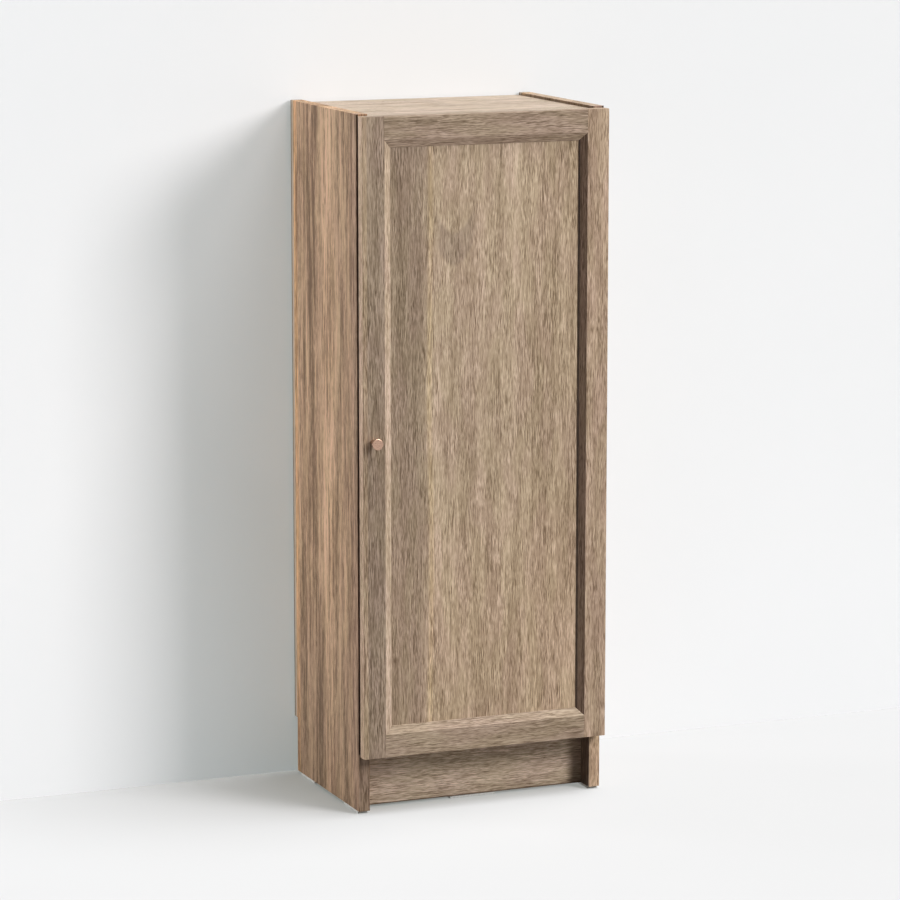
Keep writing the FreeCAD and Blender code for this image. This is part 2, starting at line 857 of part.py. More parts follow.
# Hinges: a cup in the door, an arm on a plate on the right side, and one pin
#
# Each hinge has its frame on the axis of its pin, at the middle of its height.

cup_axis = pivot_from_edge - s.cup_from_edge
door_face = pivot_depth
side_face = inner_width / 2 - pivot_x
side_edge = pivot_depth + s.door_gap
lug_low = s.knuckle_height / 2 + s.lug_play
lug_high = lug_low + s.lug_thickness
plate_face = side_face - s.plate_thickness
rail_face = plate_face - s.rail_height
arm_face = rail_face - s.arm_sheet
screw_row = side_edge + s.pin_setback
plate_start = side_edge + s.plate_front
plate_end = plate_start + s.plate_length
fixing_spot = side_edge + s.arm_screw_back
adjuster_spot = side_edge + s.arm_adjuster_back
cup_screw_x = cup_axis - s.cup_screw_offset
cup_screw_heights = [-s.cup_screw_spacing / 2, s.cup_screw_spacing / 2]
plate_screw_heights = [-s.pin_pitch / 2, s.pin_pitch / 2]


def hinge_body(label, rise=ZERO):
    return new_body(label, pivot_x, pivot_y, hinge_low + rise)


def make_cup(label, rise):
    """A round cup with a rim, two screw wings and two lugs for the pin."""
    body = hinge_body(label, rise)
    centre = [(cup_axis, 0)]
    bottom = door_face - s.cup_depth
    rods(body, "XZ_Plane", bottom, centre, s.cup_diameter, s.cup_depth, 1)
    rods(body, "XZ_Plane", door_face, centre, s.cup_rim_diameter, s.flange_thickness, 1)
    side = s.flange_width / 2
    end = s.flange_length / 2
    cut = s.flange_corner
    wings = [
        (cup_screw_x - side, -end + cut),
        (cup_screw_x - side + cut, -end),
        (cup_screw_x + side - cut, -end),
        (cup_screw_x + side, -end + cut),
        (cup_screw_x + side, end - cut),
        (cup_screw_x + side - cut, end),
        (cup_screw_x - side + cut, end),
        (cup_screw_x - side, end - cut),
    ]
    pad(body, outline(body, "XZ_Plane", door_face, wings), s.flange_thickness, 1)
    mouth = door_face + s.flange_thickness + s.overrun
    hollow = s.cup_diameter - 2 * s.cup_wall
    depth = mouth - bottom - s.cup_wall
    pocket(body, circles(body, "XZ_Plane", mouth, centre, hollow), depth, -1)
    lug = box_loop(
        -s.lug_reach,
        bottom + s.cup_wall / 2,
        cup_axis + s.cup_diameter / 2 - 2 * s.cup_wall,
        s.lug_reach,
    )
    for way in (-1, 1):
        pad(body, outline(body, "XY_Plane", way * lug_low, lug), s.lug_thickness, way)
    reach = lug_high + s.overrun
    pin_hole = circles(body, "XY_Plane", -reach, [(0, 0)], hole(s.hinge_pin_diameter))
    pocket(body, pin_hole, 2 * reach, 1)
    spots = [(cup_screw_x, z) for z in cup_screw_heights]
    through = s.flange_thickness + s.overrun
    bores(body, "XZ_Plane", door_face, spots, s.cup_screw_diameter, through, 1)


def make_hinge_pin(label, rise):
    body = hinge_body(label, rise)
    rods(body, "XY_Plane", -lug_high, [(0, 0)], s.hinge_pin_diameter, 2 * lug_high, 1)


def make_arm(label, rise):
    """A bent arm from the knuckle in the cup to a channel over the plate's rail."""
    body = hinge_body(label, rise)
    neck = s.neck_thickness / 2
    shoulder = side_edge + s.arm_shoulder
    bent_bar = [
        (0, -neck),
        (-s.neck_reach, -neck),
        (arm_face, shoulder),
        (arm_face, plate_end),
        (rail_face, plate_end),
        (rail_face, shoulder),
        (s.neck_thickness - s.neck_reach, neck),
        (0, neck),
    ]
    low = -s.knuckle_height / 2
    pad(body, outline(body, "XY_Plane", low, bent_bar), s.knuckle_height, 1)
    rods(body, "XY_Plane", low, [(0, 0)], s.knuckle_diameter, s.knuckle_height, 1)
    bores(body, "XY_Plane", low, [(0, 0)], s.hinge_pin_diameter, s.knuckle_height + s.overrun, 1)
    start = side_edge + s.arm_channel_start
    web = box_loop(arm_face, start, rail_face, plate_end)
    inside = s.rail_width / 2 + s.arm_play
    outside = inside + s.arm_cheek
    pad(body, outline(body, "XY_Plane", -outside, web), 2 * outside, 1)
    cheek = box_loop(arm_face, start, plate_face - s.arm_play, plate_end)
    for way in (-1, 1):
        sketch = outline(body, "XY_Plane", way * inside, cheek)
        pad(body, sketch, s.arm_cheek, way)
    spots = [(adjuster_spot, 0), (fixing_spot, 0)]
    through = s.arm_sheet + s.overrun
    bores(body, "YZ_Plane", arm_face, spots, s.arm_screw_diameter, through, 1)


def make_plate(label, rise):
    """A cross-shaped plate on the side board with a raised rail for the arm."""
    body = hinge_body(label, rise)
    side = s.plate_width / 2
    wing = s.plate_wing_width / 2
    tip = s.pin_pitch / 2 + s.plate_screw_land
    cross = [
        (plate_start, -side),
        (screw_row - wing, -side),
        (screw_row - wing, -tip),
        (screw_row + wing, -tip),
        (screw_row + wing, -side),
        (plate_end, -side),
        (plate_end, side),
        (screw_row + wing, side),
        (screw_row + wing, tip),
        (screw_row - wing, tip),
        (screw_row - wing, side),
        (plate_start, side),
    ]
    pad(body, outline(body, "YZ_Plane", plate_face, cross), s.plate_thickness, 1)
    rail = box_loop(
        plate_start + s.rail_inset, -s.rail_width / 2, plate_end - s.rail_inset, s.rail_width / 2
    )
    pad(body, outline(body, "YZ_Plane", plate_face, rail), s.rail_height, -1)
    spots = [(screw_row, z) for z in plate_screw_heights]
    through = s.plate_thickness + s.overrun
    bores(body, "YZ_Plane", plate_face, spots, s.pin_diameter, through, 1)
    sink = s.arm_screw_sink + s.hole_end_play
    bores(body, "YZ_Plane", rail_face, [(fixing_spot, 0)], s.arm_screw_diameter, sink, 1)


def at_both_hinges(spots):
    """The same places at the lower and at the upper hinge."""
    return [(across, z + rise) for rise in (ZERO, hinge_span) for across, z in spots]


def make_plate_screws():
    body = hinge_body("hinge_plate_screws")
    spots = at_both_hinges([(screw_row, z) for z in plate_screw_heights])
    shank = s.plate_thickness + s.pin_hole_depth - s.hole_end_play
    rods(body, "YZ_Plane", plate_face, spots, s.pin_diameter, shank, 1)
    head = s.plate_screw_head_height
    rods(body, "YZ_Plane", plate_face, spots, s.plate_screw_head_diameter, head, -1)


def make_arm_screws():
    """For each hinge a fixing screw with a head and a headless adjusting screw."""
    body = hinge_body("hinge_arm_screws")
    fixings = at_both_hinges([(fixing_spot, ZERO)])
    adjusters = at_both_hinges([(adjuster_spot, ZERO)])
    shank = s.arm_sheet + s.arm_screw_sink
    head = s.arm_screw_head_height
    rods(body, "YZ_Plane", arm_face, fixings, s.arm_screw_diameter, shank, 1)
    rods(body, "YZ_Plane", arm_face, fixings, s.arm_screw_head_diameter, head, -1)
    rods(body, "YZ_Plane", arm_face, adjusters, s.arm_screw_diameter, s.arm_sheet, 1)


def make_cup_screws():
    body = hinge_body("hinge_cup_screws")
    spots = at_both_hinges([(cup_screw_x, z) for z in cup_screw_heights])
    top = door_face + s.flange_thickness
    shank = s.flange_thickness + s.cup_screw_length - s.hole_end_play
    rods(body, "XZ_Plane", top, spots, s.cup_screw_diameter, shank, -1)
    head = s.cup_screw_head_height
    rods(body, "XZ_Plane", top, spots, s.cup_screw_head_diameter, head, 1)


for level_name, rise in (("lower", ZERO), ("upper", hinge_span)):
    make_cup(f"{level_name}_hinge_cup", rise)
    make_hinge_pin(f"{level_name}_hinge_pin", rise)
    make_arm(f"{level_name}_hinge_arm", rise)
    make_plate(f"{level_name}_hinge_plate", rise)
make_plate_screws()
make_arm_screws()
make_cup_screws()


# Check every feature and write one file for each piece

doc.recompute()
for item in doc.Objects:
    if "Invalid" in item.State or "Error" in item.State:
        raise RuntimeError(f"{item.Label} failed to compute")
    if item.TypeId == "PartDesign::Pocket":
        if item.Shape.Volume >= item.BaseFeature.Shape.Volume:
            raise RuntimeError(f"{item.Label} cuts nothing")

os.makedirs("parts", exist_ok=True)
for body in bodies:
    shape = body.Shape
    if shape.isNull() or not shape.isValid():
        raise RuntimeError(f"{body.Label} has no valid shape")
    shape.exportStep(f"parts/{body.Label}.step")
    print(f"{body.Label}: {len(shape.Solids)} solids, {shape.Volume:.0f} cubic mm")
print(f"{len(bodies)} pieces")
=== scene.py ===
# %% [markdown]
# # A narrow cabinet with one framed door
#
# The cabinet is a carcass of oak-grain boards: two sides, a top, a bottom shelf, a plinth, a thin
# back and two loose shelves. One framed door hangs on two concealed hinges on the right, with a
# small copper-coloured knob on the left. The CAD frame says where every piece is, in metres, so
# this lesson measures the frame and puts the looks on it: rounded edges, fasteners, wood figure,
# plated steel and the light of a small studio.

# %% Load the frame
import math

import bmesh
import bpy
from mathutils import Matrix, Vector


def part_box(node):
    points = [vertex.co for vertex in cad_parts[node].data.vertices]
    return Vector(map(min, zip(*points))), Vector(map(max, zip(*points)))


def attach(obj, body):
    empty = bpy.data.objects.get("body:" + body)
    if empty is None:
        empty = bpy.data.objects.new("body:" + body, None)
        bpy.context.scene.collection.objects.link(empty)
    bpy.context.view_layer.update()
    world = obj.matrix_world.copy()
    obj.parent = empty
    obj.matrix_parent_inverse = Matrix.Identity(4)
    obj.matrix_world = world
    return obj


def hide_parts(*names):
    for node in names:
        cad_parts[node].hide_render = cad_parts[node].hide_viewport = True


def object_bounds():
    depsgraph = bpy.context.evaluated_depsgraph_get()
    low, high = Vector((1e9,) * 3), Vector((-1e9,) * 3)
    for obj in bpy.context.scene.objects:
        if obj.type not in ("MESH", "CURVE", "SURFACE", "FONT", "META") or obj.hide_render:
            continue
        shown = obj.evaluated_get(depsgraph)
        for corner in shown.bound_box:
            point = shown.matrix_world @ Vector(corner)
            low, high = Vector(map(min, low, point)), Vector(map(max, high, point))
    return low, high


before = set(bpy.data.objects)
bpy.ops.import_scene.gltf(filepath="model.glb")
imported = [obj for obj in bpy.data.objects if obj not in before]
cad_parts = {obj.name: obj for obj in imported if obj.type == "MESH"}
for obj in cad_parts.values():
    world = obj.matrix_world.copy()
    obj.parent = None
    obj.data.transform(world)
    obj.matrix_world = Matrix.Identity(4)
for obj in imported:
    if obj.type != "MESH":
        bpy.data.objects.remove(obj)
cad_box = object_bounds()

MM = 0.001
print("box of the cabinet:", [tuple(round(v, 4) for v in corner) for corner in cad_box])

# %% [markdown]
# ## Camera
#
# The real picture was taken from the left of the door and from above the cabinet. A camera can be
# placed by eye, but sixteen corners of the cabinet were matched to the frame instead, which gives
# its place, its two angles and its focal length at once. A long lens keeps the uprights nearly
# parallel, so the lens needs no shift.

# %% Camera
CAMERA_PLACE = Vector((-2.2037, -5.3359, 1.5406))
CAMERA_YAW = 0.3914
CAMERA_PITCH = 0.1737
FOCAL_LENGTH_PX = 3809.3
PICTURE_WIDTH_PX = 900
SENSOR_WIDTH = 36.0


def linked(name, data):
    """A new object of the scene that holds the data."""
    made = bpy.data.objects.new(name, data)
    bpy.context.collection.objects.link(made)
    return made


camera = linked("camera", bpy.data.cameras.new("camera"))
camera.data.sensor_width = SENSOR_WIDTH
camera.data.lens = SENSOR_WIDTH * FOCAL_LENGTH_PX / PICTURE_WIDTH_PX
camera.data.clip_end = 100
camera.location = CAMERA_PLACE
sight = Vector((math.sin(CAMERA_YAW), math.cos(CAMERA_YAW), -math.tan(CAMERA_PITCH)))
camera.rotation_euler = sight.to_track_quat("-Z", "Y").to_euler()
bpy.context.scene.camera = camera
bpy.context.scene.view_settings.view_transform = "Standard"
print("lens", round(camera.data.lens, 1), "mm")

# %% [markdown]
# ## A short hand for nodes
#
# Shader trees and geometry trees are built the same way: add a node, set it, feed its sockets.
# Long scripts of links are hard to read, so this small class does the three steps in one call and
# gives back the node or its output. The sums that come up most have short names. Every finish and
# every set of fasteners below uses it.

# %% Node helper
def socket_of(sockets, key):
    """A socket by its place, its identifier or its name."""
    if isinstance(key, int):
        return sockets[key]
    for socket in sockets:
        if socket.identifier == key:
            return socket
    return sockets[key]


class Tree:
    """Adds nodes to a tree; a socket is fed by other sockets or by a plain value."""

    def __init__(self, tree):
        self.tree = tree

    def feed(self, socket, value):
        if isinstance(value, bpy.types.NodeSocket):
            self.tree.links.new(value, socket)
        elif isinstance(value, list):
            for item in value:
                self.tree.links.new(item, socket)
        else:
            socket.default_value = value

    def add(self, kind, feeds=None, **settings):
        node = self.tree.nodes.new(kind)
        for name, value in settings.items():
            setattr(node, name, value)
        for key, value in (feeds or {}).items():
            self.feed(socket_of(node.inputs, key), value)
        return node

    def math(self, operation, first, second=0.0, third=0.0):
        feeds = {0: first, 1: second, 2: third}
        return self.add("ShaderNodeMath", feeds, operation=operation).outputs[0]

    def times(self, first, *others):
        for other in others:
            first = self.math("MULTIPLY", first, other)
        return first

    def plus(self, first, second):
        return self.math("ADD", first, second)

    def minus(self, first, second):
        return self.math("SUBTRACT", first, second)

    def over(self, first, second):
        return self.math("DIVIDE", first, second)

    def vector_math(self, operation, first, second=(0, 0, 0)):
        node = self.add("ShaderNodeVectorMath", {0: first, 1: second}, operation=operation)
        single = operation in ("DOT_PRODUCT", "LENGTH", "DISTANCE")
        return node.outputs["Value" if single else "Vector"]

    def ramp(self, value, low, high, start=0.0, end=1.0, kind="SMOOTHSTEP"):
        """The value's way from low to high, as a number from start to end."""
        feeds = {"Value": value, "From Min": low, "From Max": high, "To Min": start, "To Max": end}
        return self.add("ShaderNodeMapRange", feeds, interpolation_type=kind).outputs[0]

    def between(self, value, low, high, soft):
        """One where the value lies between low and high, with soft ends."""
        rise = self.ramp(value, low - soft, low + soft)
        return self.times(rise, self.ramp(value, high + soft, high - soft))

    def blend(self, amount, first, second, way="MIX"):
        feeds = {"Factor_Float": amount, "A_Color": first, "B_Color": second}
        node = self.add("ShaderNodeMix", feeds, data_type="RGBA", blend_type=way)
        return socket_of(node.outputs, "Result_Color")

    def stain(self, coat, mask, tint):
        """The coat, multiplied by a tint where the mask is one."""
        return self.blend(mask, coat, (*tint, 1), "MULTIPLY")

    def strips(self, coat, value, *rows):
        """Stains by a value; a row is where a tint begins, where it is full, and the tint."""
        for start, full, tint in rows:
            coat = self.stain(coat, self.ramp(value, start, full), tint)
        return coat

    def noise(self, place, scale, detail=2.0, roughness=0.55):
        feeds = {"Vector": place, "Scale": scale, "Detail": detail, "Roughness": roughness}
        return self.add("ShaderNodeTexNoise", feeds).outputs[0]

    def place(self):
        """Where a point lies, in the object's own coordinates."""
        return self.add("ShaderNodeTexCoord").outputs["Object"]

    def normal(self):
        """Where a face looks, in the object's own coordinates."""
        return self.add("ShaderNodeTexCoord").outputs["Normal"]

    def split(self, vector):
        return self.add("ShaderNodeSeparateXYZ", {0: vector}).outputs

    def join(self, x=0.0, y=0.0, z=0.0):
        return self.add("ShaderNodeCombineXYZ", {"X": x, "Y": y, "Z": z}).outputs[0]

    def grain_noise(self, place, across, along, detail=2.0, roughness=0.55):
        """A noise drawn out along Z, with so many cells for a metre across and along."""
        stretched = self.vector_math("MULTIPLY", place, (across, across, along))
        return self.noise(stretched, 1.0, detail, roughness)


def new_group(name, kind, inputs, outputs):
    """A node group with named sockets; returns its Tree and its input and output nodes."""
    group = bpy.data.node_groups.new(name, kind)
    for way, sockets in (("INPUT", inputs), ("OUTPUT", outputs)):
        for label, socket_kind, *default in sockets:
            socket = group.interface.new_socket(label, in_out=way, socket_type=socket_kind)
            if default:
                socket.default_value = default[0]
    return Tree(group), group.nodes.new("NodeGroupInput").outputs, group.nodes.new("NodeGroupOutput")


def finish_group(tree, sink, **sources):
    for label, socket in sources.items():
        tree.tree.links.new(socket, sink.inputs[label.replace("_", " ")])
    print("group", tree.tree.name, "has", len(tree.tree.nodes), "nodes")
    return tree.tree

# %% [markdown]
# ## Oak figure
#
# The boards carry a printed oak foil: straight fine lines less than a millimetre wide, short
# dark pores, coarser fibres, long soft streaks, and slow changes of tone, hue and crispness. A
# photograph of wood would be the quick way, but a solid pattern of stretched noises has no seams
# at the edges of a board and needs no picture file. The grain runs along Z, so a board whose
# grain lies along X turns its coordinates first. Each part of the figure has its own strength,
# because the sides carry broader streaks than the door.

# %% Oak figure group
# Each part of the figure: cells for a metre across and along, detail, roughness, and strength
FIGURE = {
    "Line": (1500.0, 36.0, 2.0, 0.6, 2.7),
    "Tick": (1250.0, 95.0, 1.0, 0.55, 1.7),
    "Fibre": (210.0, 24.0, 2.0, 0.6, 0.35),
    "Streak": (110.0, 5.0, 3.0, 0.6, 0.8),
    "Band": (26.0, 1.6, 2.0, 0.55, 0.55),
    "Pore": (900.0, 45.0, 1.0, 0.55, 0.2),
}
# Cells of the slow changes, and how far the grain sways
HUE_CELLS, CRISP_CELLS, SWAY_CELLS = (36.0, 9.0), (55.0, 20.0), (9.0, 2.6)
SWAY = 4 * MM
# A pore opens where its noise passes this edge, and the fine lines are this blurred or this crisp
PORE_EDGE = (0.62, 0.7)
BLURRED, CRISP = 0.65, 1.15

oak, given, sink = new_group(
    "oak_figure",
    "ShaderNodeTree",
    [("Place", "NodeSocketVector"), ("Seed", "NodeSocketFloat", 0.0)]
    + [(part, "NodeSocketFloat", row[4]) for part, row in FIGURE.items()],
    [("Tone", "NodeSocketFloat"), ("Warmth", "NodeSocketFloat"), ("Height", "NodeSocketFloat")],
)
moved = oak.vector_math("ADD", given["Place"], oak.join(given["Seed"], 0.0, given["Seed"]))
sway = oak.times(oak.minus(oak.grain_noise(moved, *SWAY_CELLS, 1.0), 0.5), SWAY)
place = oak.vector_math("ADD", moved, oak.join(sway, sway))
parts = {part: oak.grain_noise(place, *row[:4]) for part, row in FIGURE.items()}
hue = oak.grain_noise(place, *HUE_CELLS, 1.0)
crisp = oak.ramp(oak.grain_noise(place, *CRISP_CELLS, 1.0), 0.35, 0.65, BLURRED, CRISP)
tone = 0.5
for part in ("Line", "Tick", "Fibre", "Streak", "Band"):
    swing = oak.times(oak.minus(parts[part], 0.5), given[part])
    if part in ("Line", "Tick"):
        swing = oak.times(swing, crisp)
    tone = oak.plus(tone, swing)
pits = oak.times(oak.ramp(parts["Pore"], *PORE_EDGE), given["Pore"])
tone = oak.minus(tone, pits)
height = oak.minus(oak.times(oak.plus(parts["Line"], parts["Tick"]), 0.4), pits)
oak_figure = finish_group(oak, sink, Tone=tone, Warmth=oak.ramp(hue, 0.35, 0.65), Height=height)

# %% [markdown]
# ## Edge wear and dust
#
# Handling rubs the corners of a board a little paler, and dust settles on what faces up. Painted
# masks would need a layout for each board. The Bevel node compares a softened normal with the true
# one, so it finds every edge by itself, and the object's own normal says which faces look up.

# %% Wear and dust group
# Cells for a metre, and how far a softened normal has turned at a flat place and at a worn corner
RUB_CELLS, CLUMP_CELLS = 90.0, 38.0
FLAT, CORNER = 0.995, 0.86

wear, given, sink = new_group(
    "wear_and_dust",
    "ShaderNodeTree",
    [
        ("Place", "NodeSocketVector"),
        ("Edge Width", "NodeSocketFloat", 1.2 * MM),
        ("Edge Strength", "NodeSocketFloat", 0.5),
        ("Dust Strength", "NodeSocketFloat", 0.12),
    ],
    [("Wear", "NodeSocketFloat"), ("Dust", "NodeSocketFloat")],
)
rounded = wear.add("ShaderNodeBevel", {"Radius": given["Edge Width"]}, samples=6).outputs[0]
true_normal = wear.add("ShaderNodeNewGeometry").outputs["True Normal"]
edges = wear.ramp(wear.vector_math("DOT_PRODUCT", rounded, true_normal), FLAT, CORNER)
patches = wear.ramp(wear.noise(given["Place"], RUB_CELLS, 3.0), 0.3, 0.7)
rubbed = wear.times(edges, patches, given["Edge Strength"])
up = wear.split(wear.normal())["Z"]
clumps = wear.ramp(wear.noise(given["Place"], CLUMP_CELLS, 4.0, 0.7), 0.35, 0.75)
settled = wear.times(wear.ramp(up, 0.6, 0.95), clumps, given["Dust Strength"])
wear_and_dust = finish_group(wear, sink, Wear=rubbed, Dust=settled)

# %% [markdown]
# ## Material helpers
#
# Each finish starts from an empty material. The shader itself always stays in the material, and
# the shared groups only send it colours, masks and heights, so that the finishes survive an
# export to other programs.

# %% Material helpers
# How high the grain of a surface stands
RELIEF = 0.2 * MM


def new_material(name):
    material = bpy.data.materials.new(name)
    material.use_nodes = True
    material.node_tree.nodes.clear()
    return material, Tree(material.node_tree)


def placed(tree, group, **feeds):
    """The outputs of a node group, with its inputs fed by name."""
    node = tree.add("ShaderNodeGroup", node_tree=group)
    for label, value in feeds.items():
        tree.feed(node.inputs[label.replace("_", " ")], value)
    return node.outputs


def close_material(tree, feeds, **plain):
    """The Principled shader at the end of a material, with its plain values set on itself."""
    shader = tree.add("ShaderNodeBsdfPrincipled", feeds)
    for label, value in plain.items():
        shader.inputs[label.replace("_", " ")].default_value = value
    tree.add("ShaderNodeOutputMaterial", {"Surface": shader.outputs[0]})


def grain_place(tree, axis):
    """Object coordinates, turned so that the grain's axis is Z."""
    coordinates = tree.place()
    if axis == "Z":
        return coordinates
    parts = tree.split(coordinates)
    return tree.join(parts["Z"], parts["Y"], parts["X"])


def scaled(colour, amount):
    return (*(channel * amount for channel in colour[:3]), 1.0)


def tinted(colour, tint):
    return (*(channel * part for channel, part in zip(colour, tint)), 1.0)


def bump_of(tree, height, strength):
    feeds = {"Height": height, "Strength": strength, "Distance": RELIEF}
    return tree.add("ShaderNodeBump", feeds).outputs[0]


print("half of a pale grey:", scaled((0.8, 0.8, 0.8), 0.5))

# %% [markdown]
# ## Foil
#
# The same printed foil covers every board, and each board has its own tone of it: the left side is
# warmer, with broader streaks, and the members of the door are darker or paler than its panel.
# Upright boards have upright grain, and shelves, plinth and rails have it lying, as a maker cuts
# them. One function makes each foil from its own colour and seed, so the boards match but never
# repeat. A board with marks of its own hands in a function that paints them.

# %% Foil function
# Dark grain is browner than the mean colour and pale grain is greyer, and the hue drifts slowly
DARKEST, PALEST = (0.41, 0.36, 0.305), (1.63, 1.72, 1.89)
OLIVE, PINK = (0.99, 1.006, 0.975, 1.0), (1.012, 0.997, 1.025, 1.0)
DUST_COLOUR = (0.5, 0.47, 0.42)
# Rubbed foil is this much paler
WORN = 1.6


def foil(name, axis, colour, seed, rough=0.6, marks=None, **strengths):
    """A printed oak foil; marks may change its colour at places of one board."""
    material, tree = new_material(name)
    place = grain_place(tree, axis)
    figure = placed(tree, oak_figure, Place=place, Seed=seed, **strengths)
    tones = tree.add("ShaderNodeValToRGB", {"Fac": figure["Tone"]})
    stops = tones.color_ramp.elements
    stops[0].color = tinted(colour, DARKEST)
    stops[1].color = tinted(colour, PALEST)
    stops.new(0.5).color = scaled(colour, 1.0)
    drift = tree.blend(figure["Warmth"], OLIVE, PINK)
    coat = tree.blend(1.0, tones.outputs["Color"], drift, "MULTIPLY")
    signs = placed(tree, wear_and_dust, Place=place)
    coat = tree.blend(signs["Wear"], coat, scaled(colour, WORN))
    if marks:
        coat = marks(tree, coat)
    coat = tree.blend(signs["Dust"], coat, (*DUST_COLOUR, 1))
    sheen = tree.ramp(figure["Tone"], 0.2, 0.8, rough + 0.08, rough - 0.06)
    relief = bump_of(tree, figure["Height"], strength=0.15)
    feeds = {"Base Color": coat, "Roughness": sheen, "Normal": relief}
    close_material(tree, feeds, Specular_IOR_Level=0.3)
    return material


print("a foil uses the groups", oak_figure.name, "and", wear_and_dust.name)

# %% [markdown]
# ## Bare core
#
# The boards are chipboard inside, and the foil ends where a saw or a drill has been: at the rear
# edges, under the feet, in the pin holes and in the groove of the back. A second material on those
# faces would need each cut face picked by hand. The way that a face looks, in the board's own
# coordinates, finds them instead.

# %% Bare core
CORE_COLOUR = (0.5, 0.36, 0.22)
CHIP_CELLS = 480.0
DARK_CHIP, PALE_CHIP = 0.72, 1.2
# A face looks along a way when the product of both passes this edge
LOOKS_ALONG = (0.93, 0.98)


def chipboard(tree):
    """The colour of the bare core: pressed chips."""
    cells = tree.add("ShaderNodeTexVoronoi", {"Scale": CHIP_CELLS, "Vector": tree.place()})
    chip = tree.ramp(tree.split(cells.outputs["Color"])["X"], 0.0, 1.0, DARK_CHIP, PALE_CHIP)
    return tree.blend(1.0, (*CORE_COLOUR, 1), tree.join(chip, chip, chip), "MULTIPLY")


def cut_faces(tree, coat, *ways):
    """Bare core on the faces whose normal looks along one of the ways."""
    normal = tree.normal()
    core = chipboard(tree)
    for way in ways:
        looks = tree.ramp(tree.vector_math("DOT_PRODUCT", normal, way), *LOOKS_ALONG)
        coat = tree.blend(looks, coat, core)
    return coat


def rear_cut(tree, coat):
    return cut_faces(tree, coat, (0, 1, 0))


print("chips of the core:", round(1 / CHIP_CELLS / MM, 1), "mm")

# %% [markdown]
# ## Marks of the side boards
#
# No real board is one even tone, and some strips here are painted shade as well. The sides carry
# painted shade on the line behind the door and a painted shadow of the gap to the wall at the rear,
# where a warm strip runs down. There is painted shade in the nook of the right leg and towards the
# foot of the left side, and the left side has a broad pale strip in its figure. These could be
# painted on an image, but strips of the board's own coordinates stay sharp and take their places
# from the frame. Each strip has a tint that is multiplied into the foil.

# %% Places on the side boards
side_low, side_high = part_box("right_side_panel")
INNER_FACE, OUTER_FACE = side_low.x, side_high.x
FRONT_EDGE, REAR_EDGE = side_low.y, side_high.y
DOOR_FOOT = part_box("door_left_stile")[0].z
# The pin holes: their two columns, the range of their rows, and their reach and depth
HALF_SPOON = 3.2 * MM
pins_low, pins_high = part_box("lower_shelf_pins")
HOLE_COLUMNS = (pins_low.y + HALF_SPOON, pins_high.y - HALF_SPOON)
HOLE_ROWS = (150 * MM, 1000 * MM)
HOLE_REACH, HOLE_DEPTH = 2.7 * MM, 12 * MM
GROOVE_PLAY = 0.4 * MM
back_low, back_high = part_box("back_panel")
BACK_GROOVE = (back_low.y - GROOVE_PLAY, back_high.y + GROOVE_PLAY)
print("columns of pin holes at", [round(y / MM, 1) for y in HOLE_COLUMNS], "mm")

# %% Strips and tints of the side boards
GREY_STRIP, GREY_TONE = (REAR_EDGE - 10 * MM, REAR_EDGE + 9 * MM), (0.5, 0.41, 0.32, 1)
WARM_STRIP, WARM_TINT = (REAR_EDGE - 26 * MM, REAR_EDGE - 12 * MM), (1.3, 1.16, 0.95)
PALE_STRIP, PALE_TINT = (-18 * MM, 32 * MM), (1.2, 1.21, 1.24)
# Painted shade of the door's gap, on the side faces by the front edge behind the door
FRONT_SHADE_STRIP, FRONT_SHADE_TINT = (FRONT_EDGE + 2 * MM, FRONT_EDGE + 1.2 * MM), (0.3, 0.22, 0.17)
# Painted shadow of the narrow gap to the wall, on the last millimetres at the rear
REAR_ARRIS_SHADOW = (REAR_EDGE - 5 * MM, REAR_EDGE - 3.5 * MM, (0.3, 0.28, 0.26))
NEAR_FRONT = (FRONT_EDGE + 33 * MM, FRONT_EDGE + 11 * MM, (0.92, 0.896, 0.96))
# Painted shade towards the foot of the left side
SHADED_FOOT = (420 * MM, 120 * MM, (0.85, 0.86, 0.88))
WOBBLE_CELLS, WOBBLE = (8.0, 2.0), 14 * MM
# Painted shade on the front edge behind the door, a painted shadow on its outer line in the gap,
# and the tints of the two legs below the door
GAP_SHADOW_LINE = (OUTER_FACE - 3.4 * MM, OUTER_FACE - 2.8 * MM)
EDGE_SHADE_TINT, GAP_SHADOW_TINT = (0.85, 0.8, 0.78, 1), (0.06, 0.04, 0.02, 1)
LEFT_LEG, RIGHT_LEG = (0.72, 0.8, 0.9, 1), (1.35, 1.35, 1.2, 1)
# Painted shade in the nook on the inner face of the right leg
NOOK_TOP, NOOK_SHADE_TINT = (100 * MM, 96 * MM), (0.35, 0.32, 0.3)
print("strips run back to", round(REAR_EDGE / MM), "mm")

# %% Marks of the side boards
def bare_places(tree, spot):
    """One in the pin holes and in the groove of the back."""
    inside = tree.math("ABSOLUTE", spot["X"])
    depth = tree.between(inside, INNER_FACE + 0.3 * MM, INNER_FACE + HOLE_DEPTH, 0.1 * MM)
    drilled = 0.0
    for column in HOLE_COLUMNS:
        near = tree.between(spot["Y"], column - HOLE_REACH, column + HOLE_REACH, 0.05 * MM)
        drilled = tree.math("MAXIMUM", drilled, near)
    drilled = tree.times(drilled, tree.between(spot["Z"], *HOLE_ROWS, 10 * MM))
    groove = tree.between(spot["Y"], *BACK_GROOVE, 0.05 * MM)
    return tree.times(tree.math("MAXIMUM", drilled, groove), depth)


